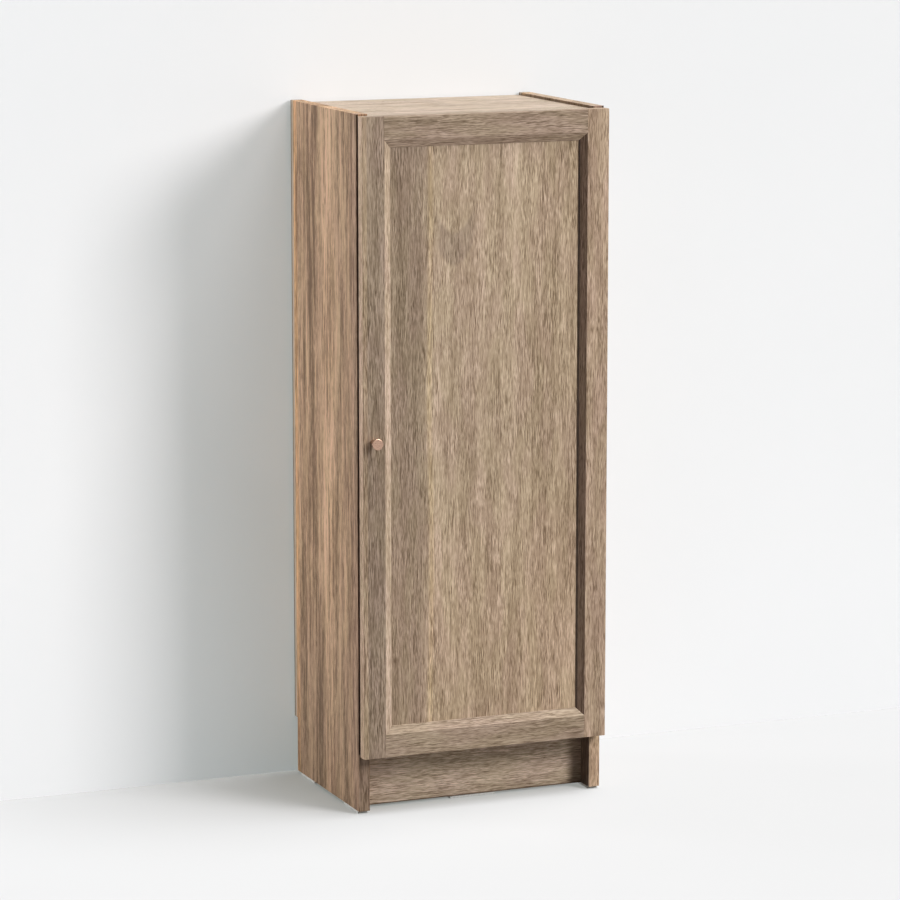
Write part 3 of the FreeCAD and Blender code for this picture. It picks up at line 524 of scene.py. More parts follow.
def side_marks(tree, coat):
    """Rear and front strips, painted shade at the door's gap, rear arris and nook, leg tints, bare
    core.
    """
    spot, looks = tree.split(tree.place()), tree.split(tree.normal())
    grey = tree.times(tree.between(spot["Y"], *GREY_STRIP, 2 * MM), 0.8)
    coat = tree.blend(grey, coat, GREY_TONE)
    coat = tree.stain(coat, tree.between(spot["Y"], *WARM_STRIP, 3 * MM), WARM_TINT)
    # The rear row is a painted shadow of the gap to the wall
    coat = tree.strips(coat, spot["Y"], REAR_ARRIS_SHADOW, NEAR_FRONT)
    behind_door = tree.ramp(spot["Z"], DOOR_FOOT, DOOR_FOOT + 4 * MM)
    sideways = tree.ramp(tree.math("ABSOLUTE", looks["X"]), 0.6, 0.9)
    # Painted shade of the door's gap on the side faces by the front edge
    front_arris_shade = tree.times(tree.ramp(spot["Y"], *FRONT_SHADE_STRIP), sideways, behind_door)
    coat = tree.stain(coat, front_arris_shade, FRONT_SHADE_TINT)
    coat = tree.blend(bare_places(tree, spot), coat, chipboard(tree))
    # Painted shade on the front edge behind the door, darkest as a painted shadow on its outer line
    gap_shadow = tree.ramp(tree.math("ABSOLUTE", spot["X"]), *GAP_SHADOW_LINE)
    edging_and_shade = tree.blend(gap_shadow, EDGE_SHADE_TINT, GAP_SHADOW_TINT)
    legs = tree.blend(tree.ramp(spot["X"], 0.0, INNER_FACE / 2), LEFT_LEG, RIGHT_LEG)
    edging_and_shade = tree.blend(behind_door, legs, edging_and_shade)
    coat = tree.blend(tree.ramp(looks["Y"], -0.9, -0.97), coat, edging_and_shade, "MULTIPLY")
    # Painted shade in the nook of the right leg
    nook = tree.times(tree.ramp(looks["X"], -0.6, -0.9),
                      tree.ramp(spot["X"], INNER_FACE - 1 * MM, INNER_FACE),
                      tree.ramp(spot["Z"], *NOOK_TOP))
    coat = tree.stain(coat, nook, NOOK_SHADE_TINT)
    return cut_faces(tree, coat, (0, 1, 0), (0, 0, -1))


def left_side_marks(tree, coat):
    """The marks of a side board, with a broad pale strip in the figure and painted shade at the foot.
    """
    place = tree.place()
    spot = tree.split(place)
    wobble = tree.times(tree.grain_noise(place, *WOBBLE_CELLS, 1.0), WOBBLE)
    pale = tree.between(tree.plus(spot["Y"], wobble), *PALE_STRIP, 5 * MM)
    coat = tree.stain(coat, pale, PALE_TINT)
    # Painted shade towards the foot
    return side_marks(tree, tree.strips(coat, spot["Z"], SHADED_FOOT))

# %% [markdown]
# ## Marks of the plinth and the door
#
# The plinth carries painted shade: the shadow of the right leg in the corner beside it, and a line
# of contact shade along its lower edge. The slopes round the door's panel carry painted light and
# shade, so the way that a face looks gives each slope its tint. More painted shade lies on the door's
# edge by the gap, in the crease beside the panel and at the panel's right. Painted light lies on the
# door's outer edge and low on the panel. The panel is darker at its left, has one pale line, and
# shows a broad bow, as a board does where the saw met the heart of the tree. That bow could be
# traced by hand, but a parabola in the panel's own coordinates draws it in one line.

# %% Marks of the plinth
PLINTH_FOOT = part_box("plinth_board")[0].z
# Painted shadow of the right leg on the plinth, and painted contact shade along its lower edge
LEG_SHADOW_CORNER = (INNER_FACE - 28 * MM, INNER_FACE - 12 * MM, (0.5, 0.46, 0.43))
CONTACT_SHADE_LINE = (PLINTH_FOOT + 2.6 * MM, PLINTH_FOOT + 1.6 * MM, (0.35, 0.3, 0.27))
print("plinth stands", round(PLINTH_FOOT / MM, 1), "mm above the floor")


def plinth_marks(tree, coat):
    """Painted shade: the right leg's shadow beside it, and contact shade along the lower edge."""
    spot = tree.split(tree.place())
    # Painted shadow beside the right leg and painted contact shade at the foot
    return tree.strips(tree.strips(coat, spot["X"], LEG_SHADOW_CORNER), spot["Z"], CONTACT_SHADE_LINE)

# %% Marks of the door's frame
stile_low, stile_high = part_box("door_left_stile")
DOOR_EDGE, DOOR_BACK = stile_low.x, stile_high.y
PANEL_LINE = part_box("door_right_stile")[0].x
# Painted light on the left stile's slope, which faces the lamp, and on the top rail's slope, which
# looks down; painted shade on the right stile's slope, which faces away from the lamp
LIT_SLOPE, SHADED_SLOPE, LIT_TOP_SLOPE = (1.54, 1.58, 1.62), (0.36, 0.32, 0.3), (1.2, 1.2, 1.2)
EDGE_STRIP = (DOOR_EDGE + 8 * MM, DOOR_EDGE + 6 * MM, (1.3, 1.28, 1.2))
# Painted light on the door's outer edge face
LIT_EDGE_TINT = (1.72, 1.66, 1.7)
# Painted shade of the door's gap, on the outer edge face by the door's back
DOOR_GAP_LINE, DOOR_GAP_TINT = (DOOR_BACK - 2.8 * MM, DOOR_BACK - 2 * MM), (0.16, 0.1, 0.06)
# Painted shade in the crease where the right stile's slope meets the panel
CREASE_SHADE_LINE, CREASE_SHADE_TINT = (PANEL_LINE + 3 * MM, PANEL_LINE + 1.8 * MM), (0.3, 0.28, 0.28)
print("panel shows from", round(-PANEL_LINE / MM), "to", round(PANEL_LINE / MM), "mm")


def slope_of(tree, axis, low, high):
    """One on the faces whose normal has such a part along an axis."""
    return tree.between(tree.split(tree.normal())[axis], low, high, 0.05)


def left_stile_marks(tree, coat):
    """Painted light on the inner slope and the outer edge, which ends in painted shade of the gap."""
    spot = tree.split(tree.place())
    coat = tree.stain(coat, slope_of(tree, "X", 0.35, 0.7), LIT_SLOPE)
    coat = tree.strips(coat, spot["X"], EDGE_STRIP)
    outer = tree.ramp(tree.split(tree.normal())["X"], -0.6, -0.9)
    # Painted light on the outer edge face
    coat = tree.stain(coat, outer, LIT_EDGE_TINT)
    # Painted shade of the door's gap near the back of the outer edge face
    rear = tree.times(outer, tree.ramp(spot["Y"], *DOOR_GAP_LINE))
    return tree.stain(coat, rear, DOOR_GAP_TINT)


def right_stile_marks(tree, coat):
    """Painted shade on the inner slope, and a fine line of painted shade where it meets the panel."""
    slope = slope_of(tree, "X", -0.7, -0.35)
    coat = tree.stain(coat, slope, SHADED_SLOPE)
    # A fine line of painted shade in the crease
    crease_shade = tree.times(slope, tree.ramp(tree.split(tree.place())["X"], *CREASE_SHADE_LINE))
    return tree.stain(coat, crease_shade, CREASE_SHADE_TINT)


def top_rail_marks(tree, coat):
    """Painted light on the slope that looks down."""
    return tree.stain(coat, slope_of(tree, "Z", -0.7, -0.35), LIT_TOP_SLOPE)

# %% Marks of the door's panel
LEFT_ZONE = (-74 * MM, -100 * MM, (0.72, 0.711, 0.711))
# Painted shade at the panel's right, beside the right stile's slope
SHADED_RIGHT_ZONE = (50 * MM, 110 * MM, (0.96, 0.95, 0.93))
# Painted light towards the panel's foot
LIT_LOW_ZONE = (600 * MM, 250 * MM, (1.08, 1.06, 1.04))
PALE_LINE, PALE_LINE_TINT = (-84 * MM, -77 * MM), (1.121, 1.11, 1.011)
DRIFT_CELLS, DRIFT = (6.0, 3.0), 16 * MM
# The broad dark bow: its lowest point, its width, its height, its bend and its tint
BOW_X, BOW_Z = -49 * MM, 828 * MM
BOW_SPREAD, BOW_RISE = (-76 * MM, -18 * MM), (4 * MM, 52 * MM)
BOW_BEND, BOW_TINT = 36.0, (0.8, 0.79, 0.82)


def panel_marks(tree, coat):
    """Darker at both edges, the right by painted shade, painted light low, a pale left line and one
    bow.
    """
    place = tree.place()
    spot = tree.split(place)
    x = tree.plus(spot["X"], tree.times(tree.grain_noise(place, *DRIFT_CELLS, 1.0), DRIFT))
    # The right zone is painted shade and the low zone painted light
    coat = tree.strips(coat, x, LEFT_ZONE, SHADED_RIGHT_ZONE)
    coat = tree.strips(coat, spot["Z"], LIT_LOW_ZONE)
    coat = tree.stain(coat, tree.between(x, *PALE_LINE, 3 * MM), PALE_LINE_TINT)
    across = tree.minus(spot["X"], BOW_X)
    rise = tree.minus(tree.minus(spot["Z"], BOW_Z), tree.times(across, across, BOW_BEND))
    bow = tree.times(tree.between(rise, *BOW_RISE, 5 * MM),
                     tree.between(spot["X"], *BOW_SPREAD, 9 * MM))
    return tree.stain(coat, bow, BOW_TINT)


print("the bow stands", round(BOW_Z / MM), "mm above the floor")

# %% [markdown]
# ## Foils of the boards
#
# Each board now gets its foil: the way of its grain, its mean colour, a seed of its own and its
# marks. A single foil for all of them would be shorter, but in the picture every board has another
# tone, so the colours were matched to it board by board.

# %% Foils
BOARD_COLOUR = (0.4, 0.3, 0.21)

left_side_foil = foil("left_side_foil", "Z", (0.408, 0.244, 0.129), 0.37, marks=left_side_marks,
                      Line=3.0, Fibre=1.2, Streak=2.6, Band=1.7)
right_side_foil = foil("right_side_foil", "Z", (0.365, 0.257, 0.168), 2.9, marks=side_marks,
                       Fibre=0.6, Streak=1.3, Band=1.0)
board_foil = foil("board_foil", "X", BOARD_COLOUR, 1.91, rough=0.45, marks=rear_cut,
                  Fibre=0.8, Streak=1.2)
plinth_foil = foil("plinth_foil", "X", (0.47, 0.35, 0.247), 4.13, marks=plinth_marks)
stile_foil = foil("stile_foil", "Z", (0.361, 0.252, 0.168), 2.27, marks=right_stile_marks)
left_stile_foil = foil("left_stile_foil", "Z", (0.262, 0.188, 0.128), 7.7,
                       marks=left_stile_marks)
top_rail_foil = foil("top_rail_foil", "X", (0.28, 0.2, 0.137), 3.41, marks=top_rail_marks)
bottom_rail_foil = foil("bottom_rail_foil", "X", (0.297, 0.215, 0.146), 8.83)
panel_foil = foil("panel_foil", "Z", (0.384, 0.279, 0.186), 5.59, marks=panel_marks)
print("foils:", [m.name for m in bpy.data.materials if m.name.endswith("_foil")])

# %% [markdown]
# ## Other finishes
#
# The rest is small: nickel-plated steel for the hinges and screws, grey cast metal for the cam
# nuts, satin copper for the knob, pale plastic for the glides, soft rubber for the bumpers, beech
# for the dowels and brown fibreboard for the outside of the back. Each is a Principled shader
# whose roughness or colour is broken up by a noise, since real plating and plastic are never
# quite even.

# %% Metal, plastic and rubber
def plain_finish(name, colour, rough, metallic=0.0, cells=260.0, spread=0.1, tone=0.08, relief=0.04):
    """A finish of one colour, with small changes of tone, roughness and height."""
    material, tree = new_material(name)
    place = tree.place()
    grain = tree.noise(place, cells, 4.0, 0.6)
    shade = tree.ramp(grain, 0.3, 0.7, 0.0, 1.0)
    coat = tree.blend(shade, scaled(colour, 1 - tone), scaled(colour, 1 + tone))
    signs = placed(tree, wear_and_dust, Place=place, Edge_Width=0.3 * MM, Edge_Strength=0.4)
    coat = tree.blend(signs["Wear"], coat, scaled(colour, 1.25))
    feeds = {
        "Base Color": tree.blend(signs["Dust"], coat, (*DUST_COLOUR, 1)),
        "Roughness": tree.ramp(grain, 0.3, 0.7, rough - spread / 2, rough + spread / 2),
        "Normal": bump_of(tree, grain, strength=relief),
    }
    close_material(tree, feeds, Metallic=metallic)
    return material


plated_steel = plain_finish("plated_steel", (0.55, 0.54, 0.52), rough=0.3, metallic=1.0)
cast_metal = plain_finish("cast_metal", (0.42, 0.42, 0.41), rough=0.45, metallic=1.0, cells=700.0)
satin_copper = plain_finish("satin_copper", (0.5, 0.32, 0.235), rough=0.3, metallic=1.0, cells=900.0)
pale_plastic = plain_finish("pale_plastic", (0.78, 0.77, 0.73), rough=0.42)
soft_rubber = plain_finish("soft_rubber", (0.6, 0.6, 0.57), rough=0.6)
print("materials so far:", len(bpy.data.materials))

# %% Dowel wood and back board
def beech():
    material, tree = new_material("beech")
    place = grain_place(tree, "X")
    figure = placed(tree, oak_figure, Place=place, Seed=0.8, Line=0.8, Tick=0.8, Pore=0.5)
    coat = tree.blend(figure["Tone"], (0.46, 0.29, 0.16, 1), (0.72, 0.5, 0.31, 1))
    relief = bump_of(tree, figure["Height"], strength=0.3)
    close_material(tree, {"Base Color": coat, "Normal": relief}, Roughness=0.6)
    return material


def fibreboard_rear(tree, coat):
    """Plain brown fibreboard on the outside of the back and on its edges."""
    place = tree.place()
    fleck = tree.ramp(tree.noise(place, 520.0, 4.0, 0.75), 0.3, 0.7)
    plain = tree.blend(fleck, (0.3, 0.19, 0.105, 1), (0.42, 0.285, 0.17, 1))
    cloud = tree.ramp(tree.noise(place, 7.0, 3.0), 0.3, 0.7, 0.88, 1.06)
    plain = tree.blend(1.0, plain, tree.join(cloud, cloud, cloud), "MULTIPLY")
    front = tree.split(tree.normal())["Y"]
    return tree.blend(tree.ramp(front, -0.9, -0.6), coat, plain)


dowel_beech = beech()
back_foil = foil("back_foil", "Z", scaled(BOARD_COLOUR, 0.95), 6.3, marks=fibreboard_rear)
print("finishes:", len(bpy.data.materials))

# %% [markdown]
# ## Rounded boards
#
# Real edges are never sharp: foil wraps round a radius of a few tenths of a millimetre, and that
# line catches the light. The CAD boards have the right shape and holes, so each one that shows is
# copied, its triangles are merged and its sharp edges get a Bevel modifier. A Weighted Normal
# modifier keeps the large faces flat beside the rounding, and both are then baked. Building the
# boards again by hand would only risk a wrong hole.

# %% Softened copies
def baked(piece):
    """The piece with its modifiers applied, as a plain mesh object of the same name."""
    name = piece.name
    graph = bpy.context.evaluated_depsgraph_get()
    mesh = bpy.data.meshes.new_from_object(piece.evaluated_get(graph), depsgraph=graph)
    bpy.data.objects.remove(piece)
    mesh.name = name
    return linked(name, mesh)


def dress(piece, body, slot, material, *nodes):
    """Give a piece its finish and its body, and hide the CAD nodes that it stands for."""
    piece.data.materials.clear()
    piece.data.materials.append(material)
    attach(piece, body)
    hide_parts(*nodes)
    return piece


def round_edges(piece, radius, angle=30):
    rounding = piece.modifiers.new("rounded edges", "BEVEL")
    rounding.width = radius
    rounding.segments = 2
    rounding.limit_method = "ANGLE"
    rounding.angle_limit = math.radians(angle)
    flat = piece.modifiers.new("flat large faces", "WEIGHTED_NORMAL")
    flat.weight = 100


# Corners this close are one corner, and faces that turn by less than this are one face
SAME_CORNER, SAME_FACE = 0.002 * MM, math.radians(0.5)


def merged(node):
    """The triangles of a CAD node joined into a clean mesh of larger faces."""
    shell = bmesh.new()
    shell.from_mesh(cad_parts[node].data)
    bmesh.ops.remove_doubles(shell, verts=shell.verts, dist=SAME_CORNER)
    bmesh.ops.dissolve_limit(shell, angle_limit=SAME_FACE, verts=shell.verts, edges=shell.edges)
    return shell


def smooth_piece(shell, name):
    """The shell as a smooth object of the scene."""
    for face in shell.faces:
        face.smooth = True
    mesh = bpy.data.meshes.new(name)
    shell.to_mesh(mesh)
    shell.free()
    return linked(name, mesh)


def softened(node, body, slot, material, radius=0.45 * MM):
    """A copy of a CAD piece with its sharp edges rounded."""
    piece = smooth_piece(merged(node), node + "_finish")
    round_edges(piece, radius)
    made = dress(baked(piece), body, slot, material, node)
    print(made.name, len(made.data.polygons), "faces")
    return made


print("corners within", round(SAME_CORNER / MM, 3), "mm of each other are merged")

# %% Boards of the carcass
for node, material in (
    ("left_side_panel", left_side_foil),
    ("right_side_panel", right_side_foil),
    ("top_panel", board_foil),
    ("bottom_shelf", board_foil),
    ("lower_shelf", board_foil),
    ("upper_shelf", board_foil),
    ("plinth_board", plinth_foil),
):
    softened(node, "root", "carcass_foil", material)
softened("back_panel", "root", "back_board", back_foil, 0.2 * MM)

# %% Members of the door
for node, material in (
    ("door_left_stile", left_stile_foil),
    ("door_right_stile", stile_foil),
    ("door_top_rail", top_rail_foil),
    ("door_bottom_rail", bottom_rail_foil),
    ("door_centre_panel", panel_foil),
):
    softened(node, "door", "door_foil", material, 0.3 * MM)

# %% Glides and hinges
for node in ("left_floor_glides", "right_floor_glides", "plinth_support_pad"):
    softened(node, "root", "glide_plastic", pale_plastic, 0.6 * MM)
for level in ("lower", "upper"):
    for part, body, radius in (
        ("cup", "door", 0.25 * MM),
        ("pin", "door", 0.25 * MM),
        ("arm", "root", 0.3 * MM),
        ("plate", "root", 0.3 * MM),
    ):
        softened(f"{level}_hinge_{part}", body, "steel", plated_steel, radius)

# %% [markdown]
# ## Sets of fasteners
#
# Screws, nails, pins, dowels and cam nuts come in sets of equal pieces. Copying one by hand would
# work, but a Geometry Nodes tree keeps each kind in one place: it builds one piece from named
# sizes and stands a copy on every point. The points come from the frame: each loose solid of a
# CAD node gives the place where its piece looks out of the wood.

# %% Places of a set
def islands(node):
    """The box of each separate solid in a CAD node."""
    shell = merged(node)
    left = set(shell.verts)
    boxes = []
    while left:
        reach = [left.pop()]
        found = list(reach)
        while reach:
            for edge in reach.pop().link_edges:
                for vertex in edge.verts:
                    if vertex in left:
                        left.remove(vertex)
                        reach.append(vertex)
                        found.append(vertex)
        points = [vertex.co for vertex in found]
        low = Vector([min(point[i] for point in points) for i in range(3)])
        high = Vector([max(point[i] for point in points) for i in range(3)])
        boxes.append((low, high))
    shell.free()
    return boxes


def outer_end(box, way):
    """The middle of the end face of a box that looks along the way."""
    low, high = box
    middle = (low + high) / 2
    half = (high - low) / 2
    return middle + Vector([half[i] * way[i] for i in range(3)])


# The ways that pieces look out of the wood
LEFT, RIGHT, REAR, BELOW = (-1, 0, 0), (1, 0, 0), (0, 1, 0), (0, 0, -1)


def from_both_sides(node):
    """The inner ends of the pieces in both side boards, and the ways that they look."""
    boxes = islands(node)
    right = [outer_end(box, LEFT) for box in boxes if box[0].x > 0]
    left = [outer_end(box, RIGHT) for box in boxes if box[0].x < 0]
    return right + left, [LEFT] * len(right) + [RIGHT] * len(left)


print("screws in the hinge cups:", len(islands("hinge_cup_screws")))

# %% Tree helpers for sets
def stand_on_points(tree, given, piece):
    """Ends a tree: a copy of the piece on every point, made real and given its material."""
    looks = tree.add("GeometryNodeInputNamedAttribute", {"Name": "looks"}, data_type="FLOAT_VECTOR")
    aligned = tree.add("FunctionNodeAlignRotationToVector", {"Vector": looks.outputs[0]}, axis="Z")
    feeds = {"Min_001": 0.0, "Max_001": math.tau, "Seed": given["Seed"]}
    angle = tree.add("FunctionNodeRandomValue", feeds, data_type="FLOAT")
    angle = tree.times(socket_of(angle.outputs, "Value_001"), given["Turn"])
    spin = tree.add("FunctionNodeAxisAngleToRotation", {"Axis": (0, 0, 1), "Angle": angle})
    feeds = {"Rotation": aligned.outputs[0], "Rotate By": spin.outputs[0]}
    turned = tree.add("FunctionNodeRotateRotation", feeds, rotation_space="LOCAL")
    feeds = {"Points": given["Points"], "Instance": piece, "Rotation": turned.outputs[0]}
    copies = tree.add("GeometryNodeInstanceOnPoints", feeds)
    real = tree.add("GeometryNodeRealizeInstances", {0: copies.outputs[0]})
    smooth = tree.add("GeometryNodeSetShadeSmooth", {0: real.outputs[0]})
    feeds = {"Geometry": smooth.outputs[0], "Material": given["Finish"]}
    return tree.add("GeometryNodeSetMaterial", feeds).outputs[0]


def new_set(name, sizes):
    """A tree of fasteners with named sizes; every one has points, a finish, a turn and a seed."""
    inputs = [("Points", "NodeSocketGeometry"), ("Finish", "NodeSocketMaterial")]
    inputs += [("Turn", "NodeSocketFloat", 0.0), ("Seed", "NodeSocketInt", 7)]
    inputs += [(label, "NodeSocketFloat", value) for label, value in sizes.items()]
    return new_group(name, "GeometryNodeTree", inputs, [("Geometry", "NodeSocketGeometry")])


def spot_in(tree):
    """Where a corner of a mesh lies, as X, Y and Z."""
    return tree.split(tree.add("GeometryNodeInputPosition").outputs[0])


def moved_to(tree, mesh, x, y, z):
    feeds = {"Geometry": mesh, "Position": tree.join(x, y, z)}
    return tree.add("GeometryNodeSetPosition", feeds).outputs[0]


def reshaped(tree, mesh, factor, shift=0.0):
    """The mesh with X and Y scaled by a factor that may change with height, and moved along Z."""
    spot = spot_in(tree)
    x, y = tree.times(spot["X"], factor), tree.times(spot["Y"], factor)
    return moved_to(tree, mesh, x, y, tree.plus(spot["Z"], shift))


def round_bar(tree, width, length, vertices, segments=1):
    radius = tree.over(width, 2.0)
    feeds = {"Vertices": vertices, "Side Segments": segments, "Radius": radius, "Depth": length}
    return tree.add("GeometryNodeMeshCylinder", feeds).outputs["Mesh"]


def cross_bars(tree, long, wide, depth):
    """Two crossed bars in the surface that reach down to the depth."""
    deep = tree.times(depth, 2.0)
    sizes = (tree.join(long, wide, deep), tree.join(wide, long, deep))
    return [tree.add("GeometryNodeMeshCube", {"Size": size}).outputs["Mesh"] for size in sizes]


def cut_from(tree, body, cutters):
    feeds = {"Mesh 1": body, "Mesh 2": cutters}
    return tree.add("GeometryNodeMeshBoolean", feeds, operation="DIFFERENCE").outputs[0]

# %% Standing a set
def stand(tree, node, way, finish, spots=None, label="", edge=0.12 * MM, **sizes):
    """Runs a tree on the places of a CAD node, rounds its edges and bakes it into one mesh."""
    label = label or node + "_finish"
    spots = spots or [outer_end(box, way) for box in islands(node)]
    ways = way if isinstance(way, list) else [way] * len(spots)
    mesh = bpy.data.meshes.new(label)
    mesh.from_pydata(spots, [], [])
    looks = mesh.attributes.new("looks", "FLOAT_VECTOR", "POINT")
    looks.data.foreach_set("vector", [part for item in ways for part in item])
    piece = linked(label, mesh)
    nodes_step = piece.modifiers.new("fasteners", "NODES")
    nodes_step.node_group = tree
    keys = {item.name: item.identifier for item in tree.interface.items_tree}
    body, slot, material = finish
    nodes_step[keys["Finish"]] = material
    for name, value in sizes.items():
        nodes_step[keys[name.replace("_", " ")]] = value
    if edge:
        round_edges(piece, edge, 40)
    made = dress(baked(piece), body, slot, material, node)
    print(label, len(spots), "pieces,", len(made.data.polygons), "faces")
    return made


# The body that a set rides on, its slot, and its finish
DOOR_STEEL = ("door", "steel", plated_steel)
CARCASS_STEEL = ("root", "steel", plated_steel)
print("sets of steel ride on", DOOR_STEEL[0], "and", CARCASS_STEEL[0])

# %% [markdown]
# ## Screws, bolts and nails
#
# A screw here is a head with a crown and a cross recess, and a shank whose rings narrow to the
# tip. The rings stand for the thread: at this size they look the same as a spiral and stay light.
# The recess is cut with a Mesh Boolean, because it has to go down into the crown.

# %% Screw tree
screw, given, sink = new_set(
    "screw_set",
    {
        "Head Diameter": 8 * MM,
        "Head Height": 2 * MM,
        "Crown": 0.45,
        "Recess": 4 * MM,
        "Recess Width": 0.9 * MM,
        "Recess Depth": 1.1 * MM,
        "Shank Diameter": 4 * MM,
        "Shank Length": 10 * MM,
        "Ring Pitch": 1.4 * MM,
        "Ring Depth": 0.14,
        "Tip Length": 2 * MM,
    },
)
# The head narrows towards its top by this power, the tip ends this thin, and the shank reaches
# this share of the head's height below the top
CROWN_POWER, TIP_WIDTH, SHANK_TOP = 2.5, 0.12, 0.6
head = round_bar(screw, given["Head Diameter"], given["Head Height"], vertices=36, segments=6)
share = screw.plus(screw.over(spot_in(screw)["Z"], given["Head Height"]), 0.5)
rise = screw.math("POWER", screw.math("MAXIMUM", share, 0.0), CROWN_POWER)
crown = screw.math("SQRT", screw.minus(1.0, screw.times(rise, given["Crown"])))
head = reshaped(screw, head, crown, screw.over(given["Head Height"], -2.0))
bars = cross_bars(screw, given["Recess"], given["Recess Width"], given["Recess Depth"])
crossed = screw.math("GREATER_THAN", given["Recess"], 0.0)
feeds = {"Switch": crossed, "False": head, "True": cut_from(screw, head, bars)}
head = screw.add("GeometryNodeSwitch", feeds, input_type="GEOMETRY").outputs[0]
shank = round_bar(screw, given["Shank Diameter"], given["Shank Length"], vertices=20, segments=22)
level = spot_in(screw)["Z"]
half_pitch = screw.over(given["Ring Pitch"], 2.0)
rings = screw.over(screw.math("PINGPONG", level, half_pitch), half_pitch)
rings = screw.minus(1.0, screw.times(rings, given["Ring Depth"]))
above_end = screw.plus(level, screw.over(given["Shank Length"], 2.0))
narrow = screw.over(above_end, screw.math("MAXIMUM", given["Tip Length"], 0.01 * MM))
narrow = screw.math("MAXIMUM", screw.math("MINIMUM", narrow, 1.0), TIP_WIDTH)
half_shank = screw.over(given["Shank Length"], -2.0)
down = screw.minus(half_shank, screw.times(given["Head Height"], SHANK_TOP))
shank = reshaped(screw, shank, screw.times(rings, narrow), down)
whole = screw.add("GeometryNodeJoinGeometry", {"Geometry": [head, shank]}).outputs[0]
screw_set = finish_group(screw, sink, Geometry=stand_on_points(screw, given, whole))

# %% Screws of the hinges and the knob, and nails of the back
stand(screw_set, "hinge_cup_screws", REAR, DOOR_STEEL, Turn=1.0,
      Head_Diameter=7 * MM, Head_Height=1.5 * MM, Recess=3.6 * MM, Recess_Width=0.8 * MM,
      Recess_Depth=0.9 * MM, Shank_Diameter=3 * MM, Shank_Length=11 * MM)
stand(screw_set, "hinge_plate_screws", LEFT, CARCASS_STEEL, Turn=1.0,
      Head_Diameter=8.5 * MM, Head_Height=1.8 * MM, Shank_Diameter=4.9 * MM,
      Shank_Length=11.3 * MM, Tip_Length=1.0 * MM)
stand(screw_set, "knob_screw", REAR, DOOR_STEEL, Turn=1.0,
      Head_Diameter=8 * MM, Head_Height=2.2 * MM, Shank_Diameter=3.9 * MM,
      Shank_Length=29 * MM, Ring_Pitch=2.6 * MM, Tip_Length=0.8 * MM)
stand(screw_set, "back_panel_nails", REAR, CARCASS_STEEL,
      Head_Diameter=4 * MM, Head_Height=0.8 * MM, Crown=0.25, Recess=0.0,
      Shank_Diameter=1.8 * MM, Shank_Length=20 * MM, Ring_Depth=0.04, Tip_Length=3 * MM)

# %% Arm screws, with a head at the fixing and none at the adjuster
# A box at least this tall has a head
HEAD_AT_LEAST = 6 * MM
arm_boxes = islands("hinge_arm_screws")
fixings = [outer_end(box, LEFT) for box in arm_boxes if (box[1] - box[0]).z > HEAD_AT_LEAST]
adjusters = [outer_end(box, LEFT) for box in arm_boxes if (box[1] - box[0]).z < HEAD_AT_LEAST]
stand(screw_set, "hinge_arm_screws", LEFT, CARCASS_STEEL, fixings, Turn=1.0,
      Head_Diameter=8 * MM, Head_Height=2.2 * MM, Shank_Diameter=4.9 * MM,
      Shank_Length=7.2 * MM, Tip_Length=0.6 * MM)
stand(screw_set, "hinge_arm_screws", LEFT, CARCASS_STEEL, adjusters, "hinge_arm_adjusters_finish",
      Turn=1.0, Head_Diameter=4.9 * MM, Head_Height=1.4 * MM, Crown=0.1, Recess=3.0 * MM,
      Recess_Width=0.7 * MM, Recess_Depth=0.7 * MM, Shank_Diameter=4.2 * MM,
      Shank_Length=0.6 * MM, Ring_Depth=0.0, Tip_Length=0.1 * MM)

# %% [markdown]
# ## Cam bolts and cam nuts
#
# The carcass comes apart: a bolt in each side board has its head gripped by a cam nut in the end
# of the top or the bottom shelf. The nut is a short cast drum with a cross for the screwdriver in
# its face and a bore for the bolt in its side. Both cuts are booleans in one small tree.

# %% Bolts
for level in ("top", "bottom"):
    spots, ways = from_both_sides(level + "_cam_bolts")
    stand(screw_set, level + "_cam_bolts", ways, CARCASS_STEEL, spots,
          Head_Diameter=7 * MM, Head_Height=4 * MM, Crown=0.15, Recess=3.6 * MM,
          Recess_Width=0.9 * MM, Recess_Depth=1.2 * MM, Shank_Diameter=5.4 * MM,
          Shank_Length=32 * MM, Tip_Length=1.5 * MM)

# %% Cam nut tree
cam, given, sink = new_set(
    "cam_set",
    {
        "Diameter": 15 * MM,
        "Height": 13.5 * MM,
        "Cross Length": 9 * MM,
        "Cross Width": 1.4 * MM,
        "Cross Depth": 2 * MM,
        "Bore": 7.4 * MM,
        "Bore Height": 9 * MM,
    },
)
drum = round_bar(cam, given["Diameter"], given["Height"], vertices=40)
drum = reshaped(cam, drum, 1.0, cam.over(given["Height"], -2.0))
cutters = cross_bars(cam, given["Cross Length"], given["Cross Width"], given["Cross Depth"])
bore = round_bar(cam, given["Bore"], given["Diameter"], vertices=24)
place = cam.join(cam.over(given["Diameter"], 2.0), 0.0, cam.times(given["Bore Height"], -1.0))
feeds = {"Geometry": bore, "Translation": place, "Rotation": (0, math.pi / 2, 0)}
cutters.append(cam.add("GeometryNodeTransform", feeds).outputs[0])
nut = cut_from(cam, drum, cutters)
cam_set = finish_group(cam, sink, Geometry=stand_on_points(cam, given, nut))

# %% Cam nuts
CARCASS_CASTING = ("root", "steel", cast_metal)
for level in ("top", "bottom"):
    stand(cam_set, level + "_cam_locks", BELOW, CARCASS_CASTING, edge=0.2 * MM)

# %% [markdown]
# ## Dowels
#
# Beech dowels are fluted, so that the glue can get past them, and their ends are rounded off to
# find the hole. A cylinder whose every second side vertex is drawn in gives the flutes, and its
# outer rings are narrowed for the ends.

# %% Dowel tree
dowel, given, sink = new_set(
    "dowel_set",
    {"Diameter": 8 * MM, "Length": 30 * MM, "Flute Depth": 0.06, "Chamfer": 1.2 * MM},
)
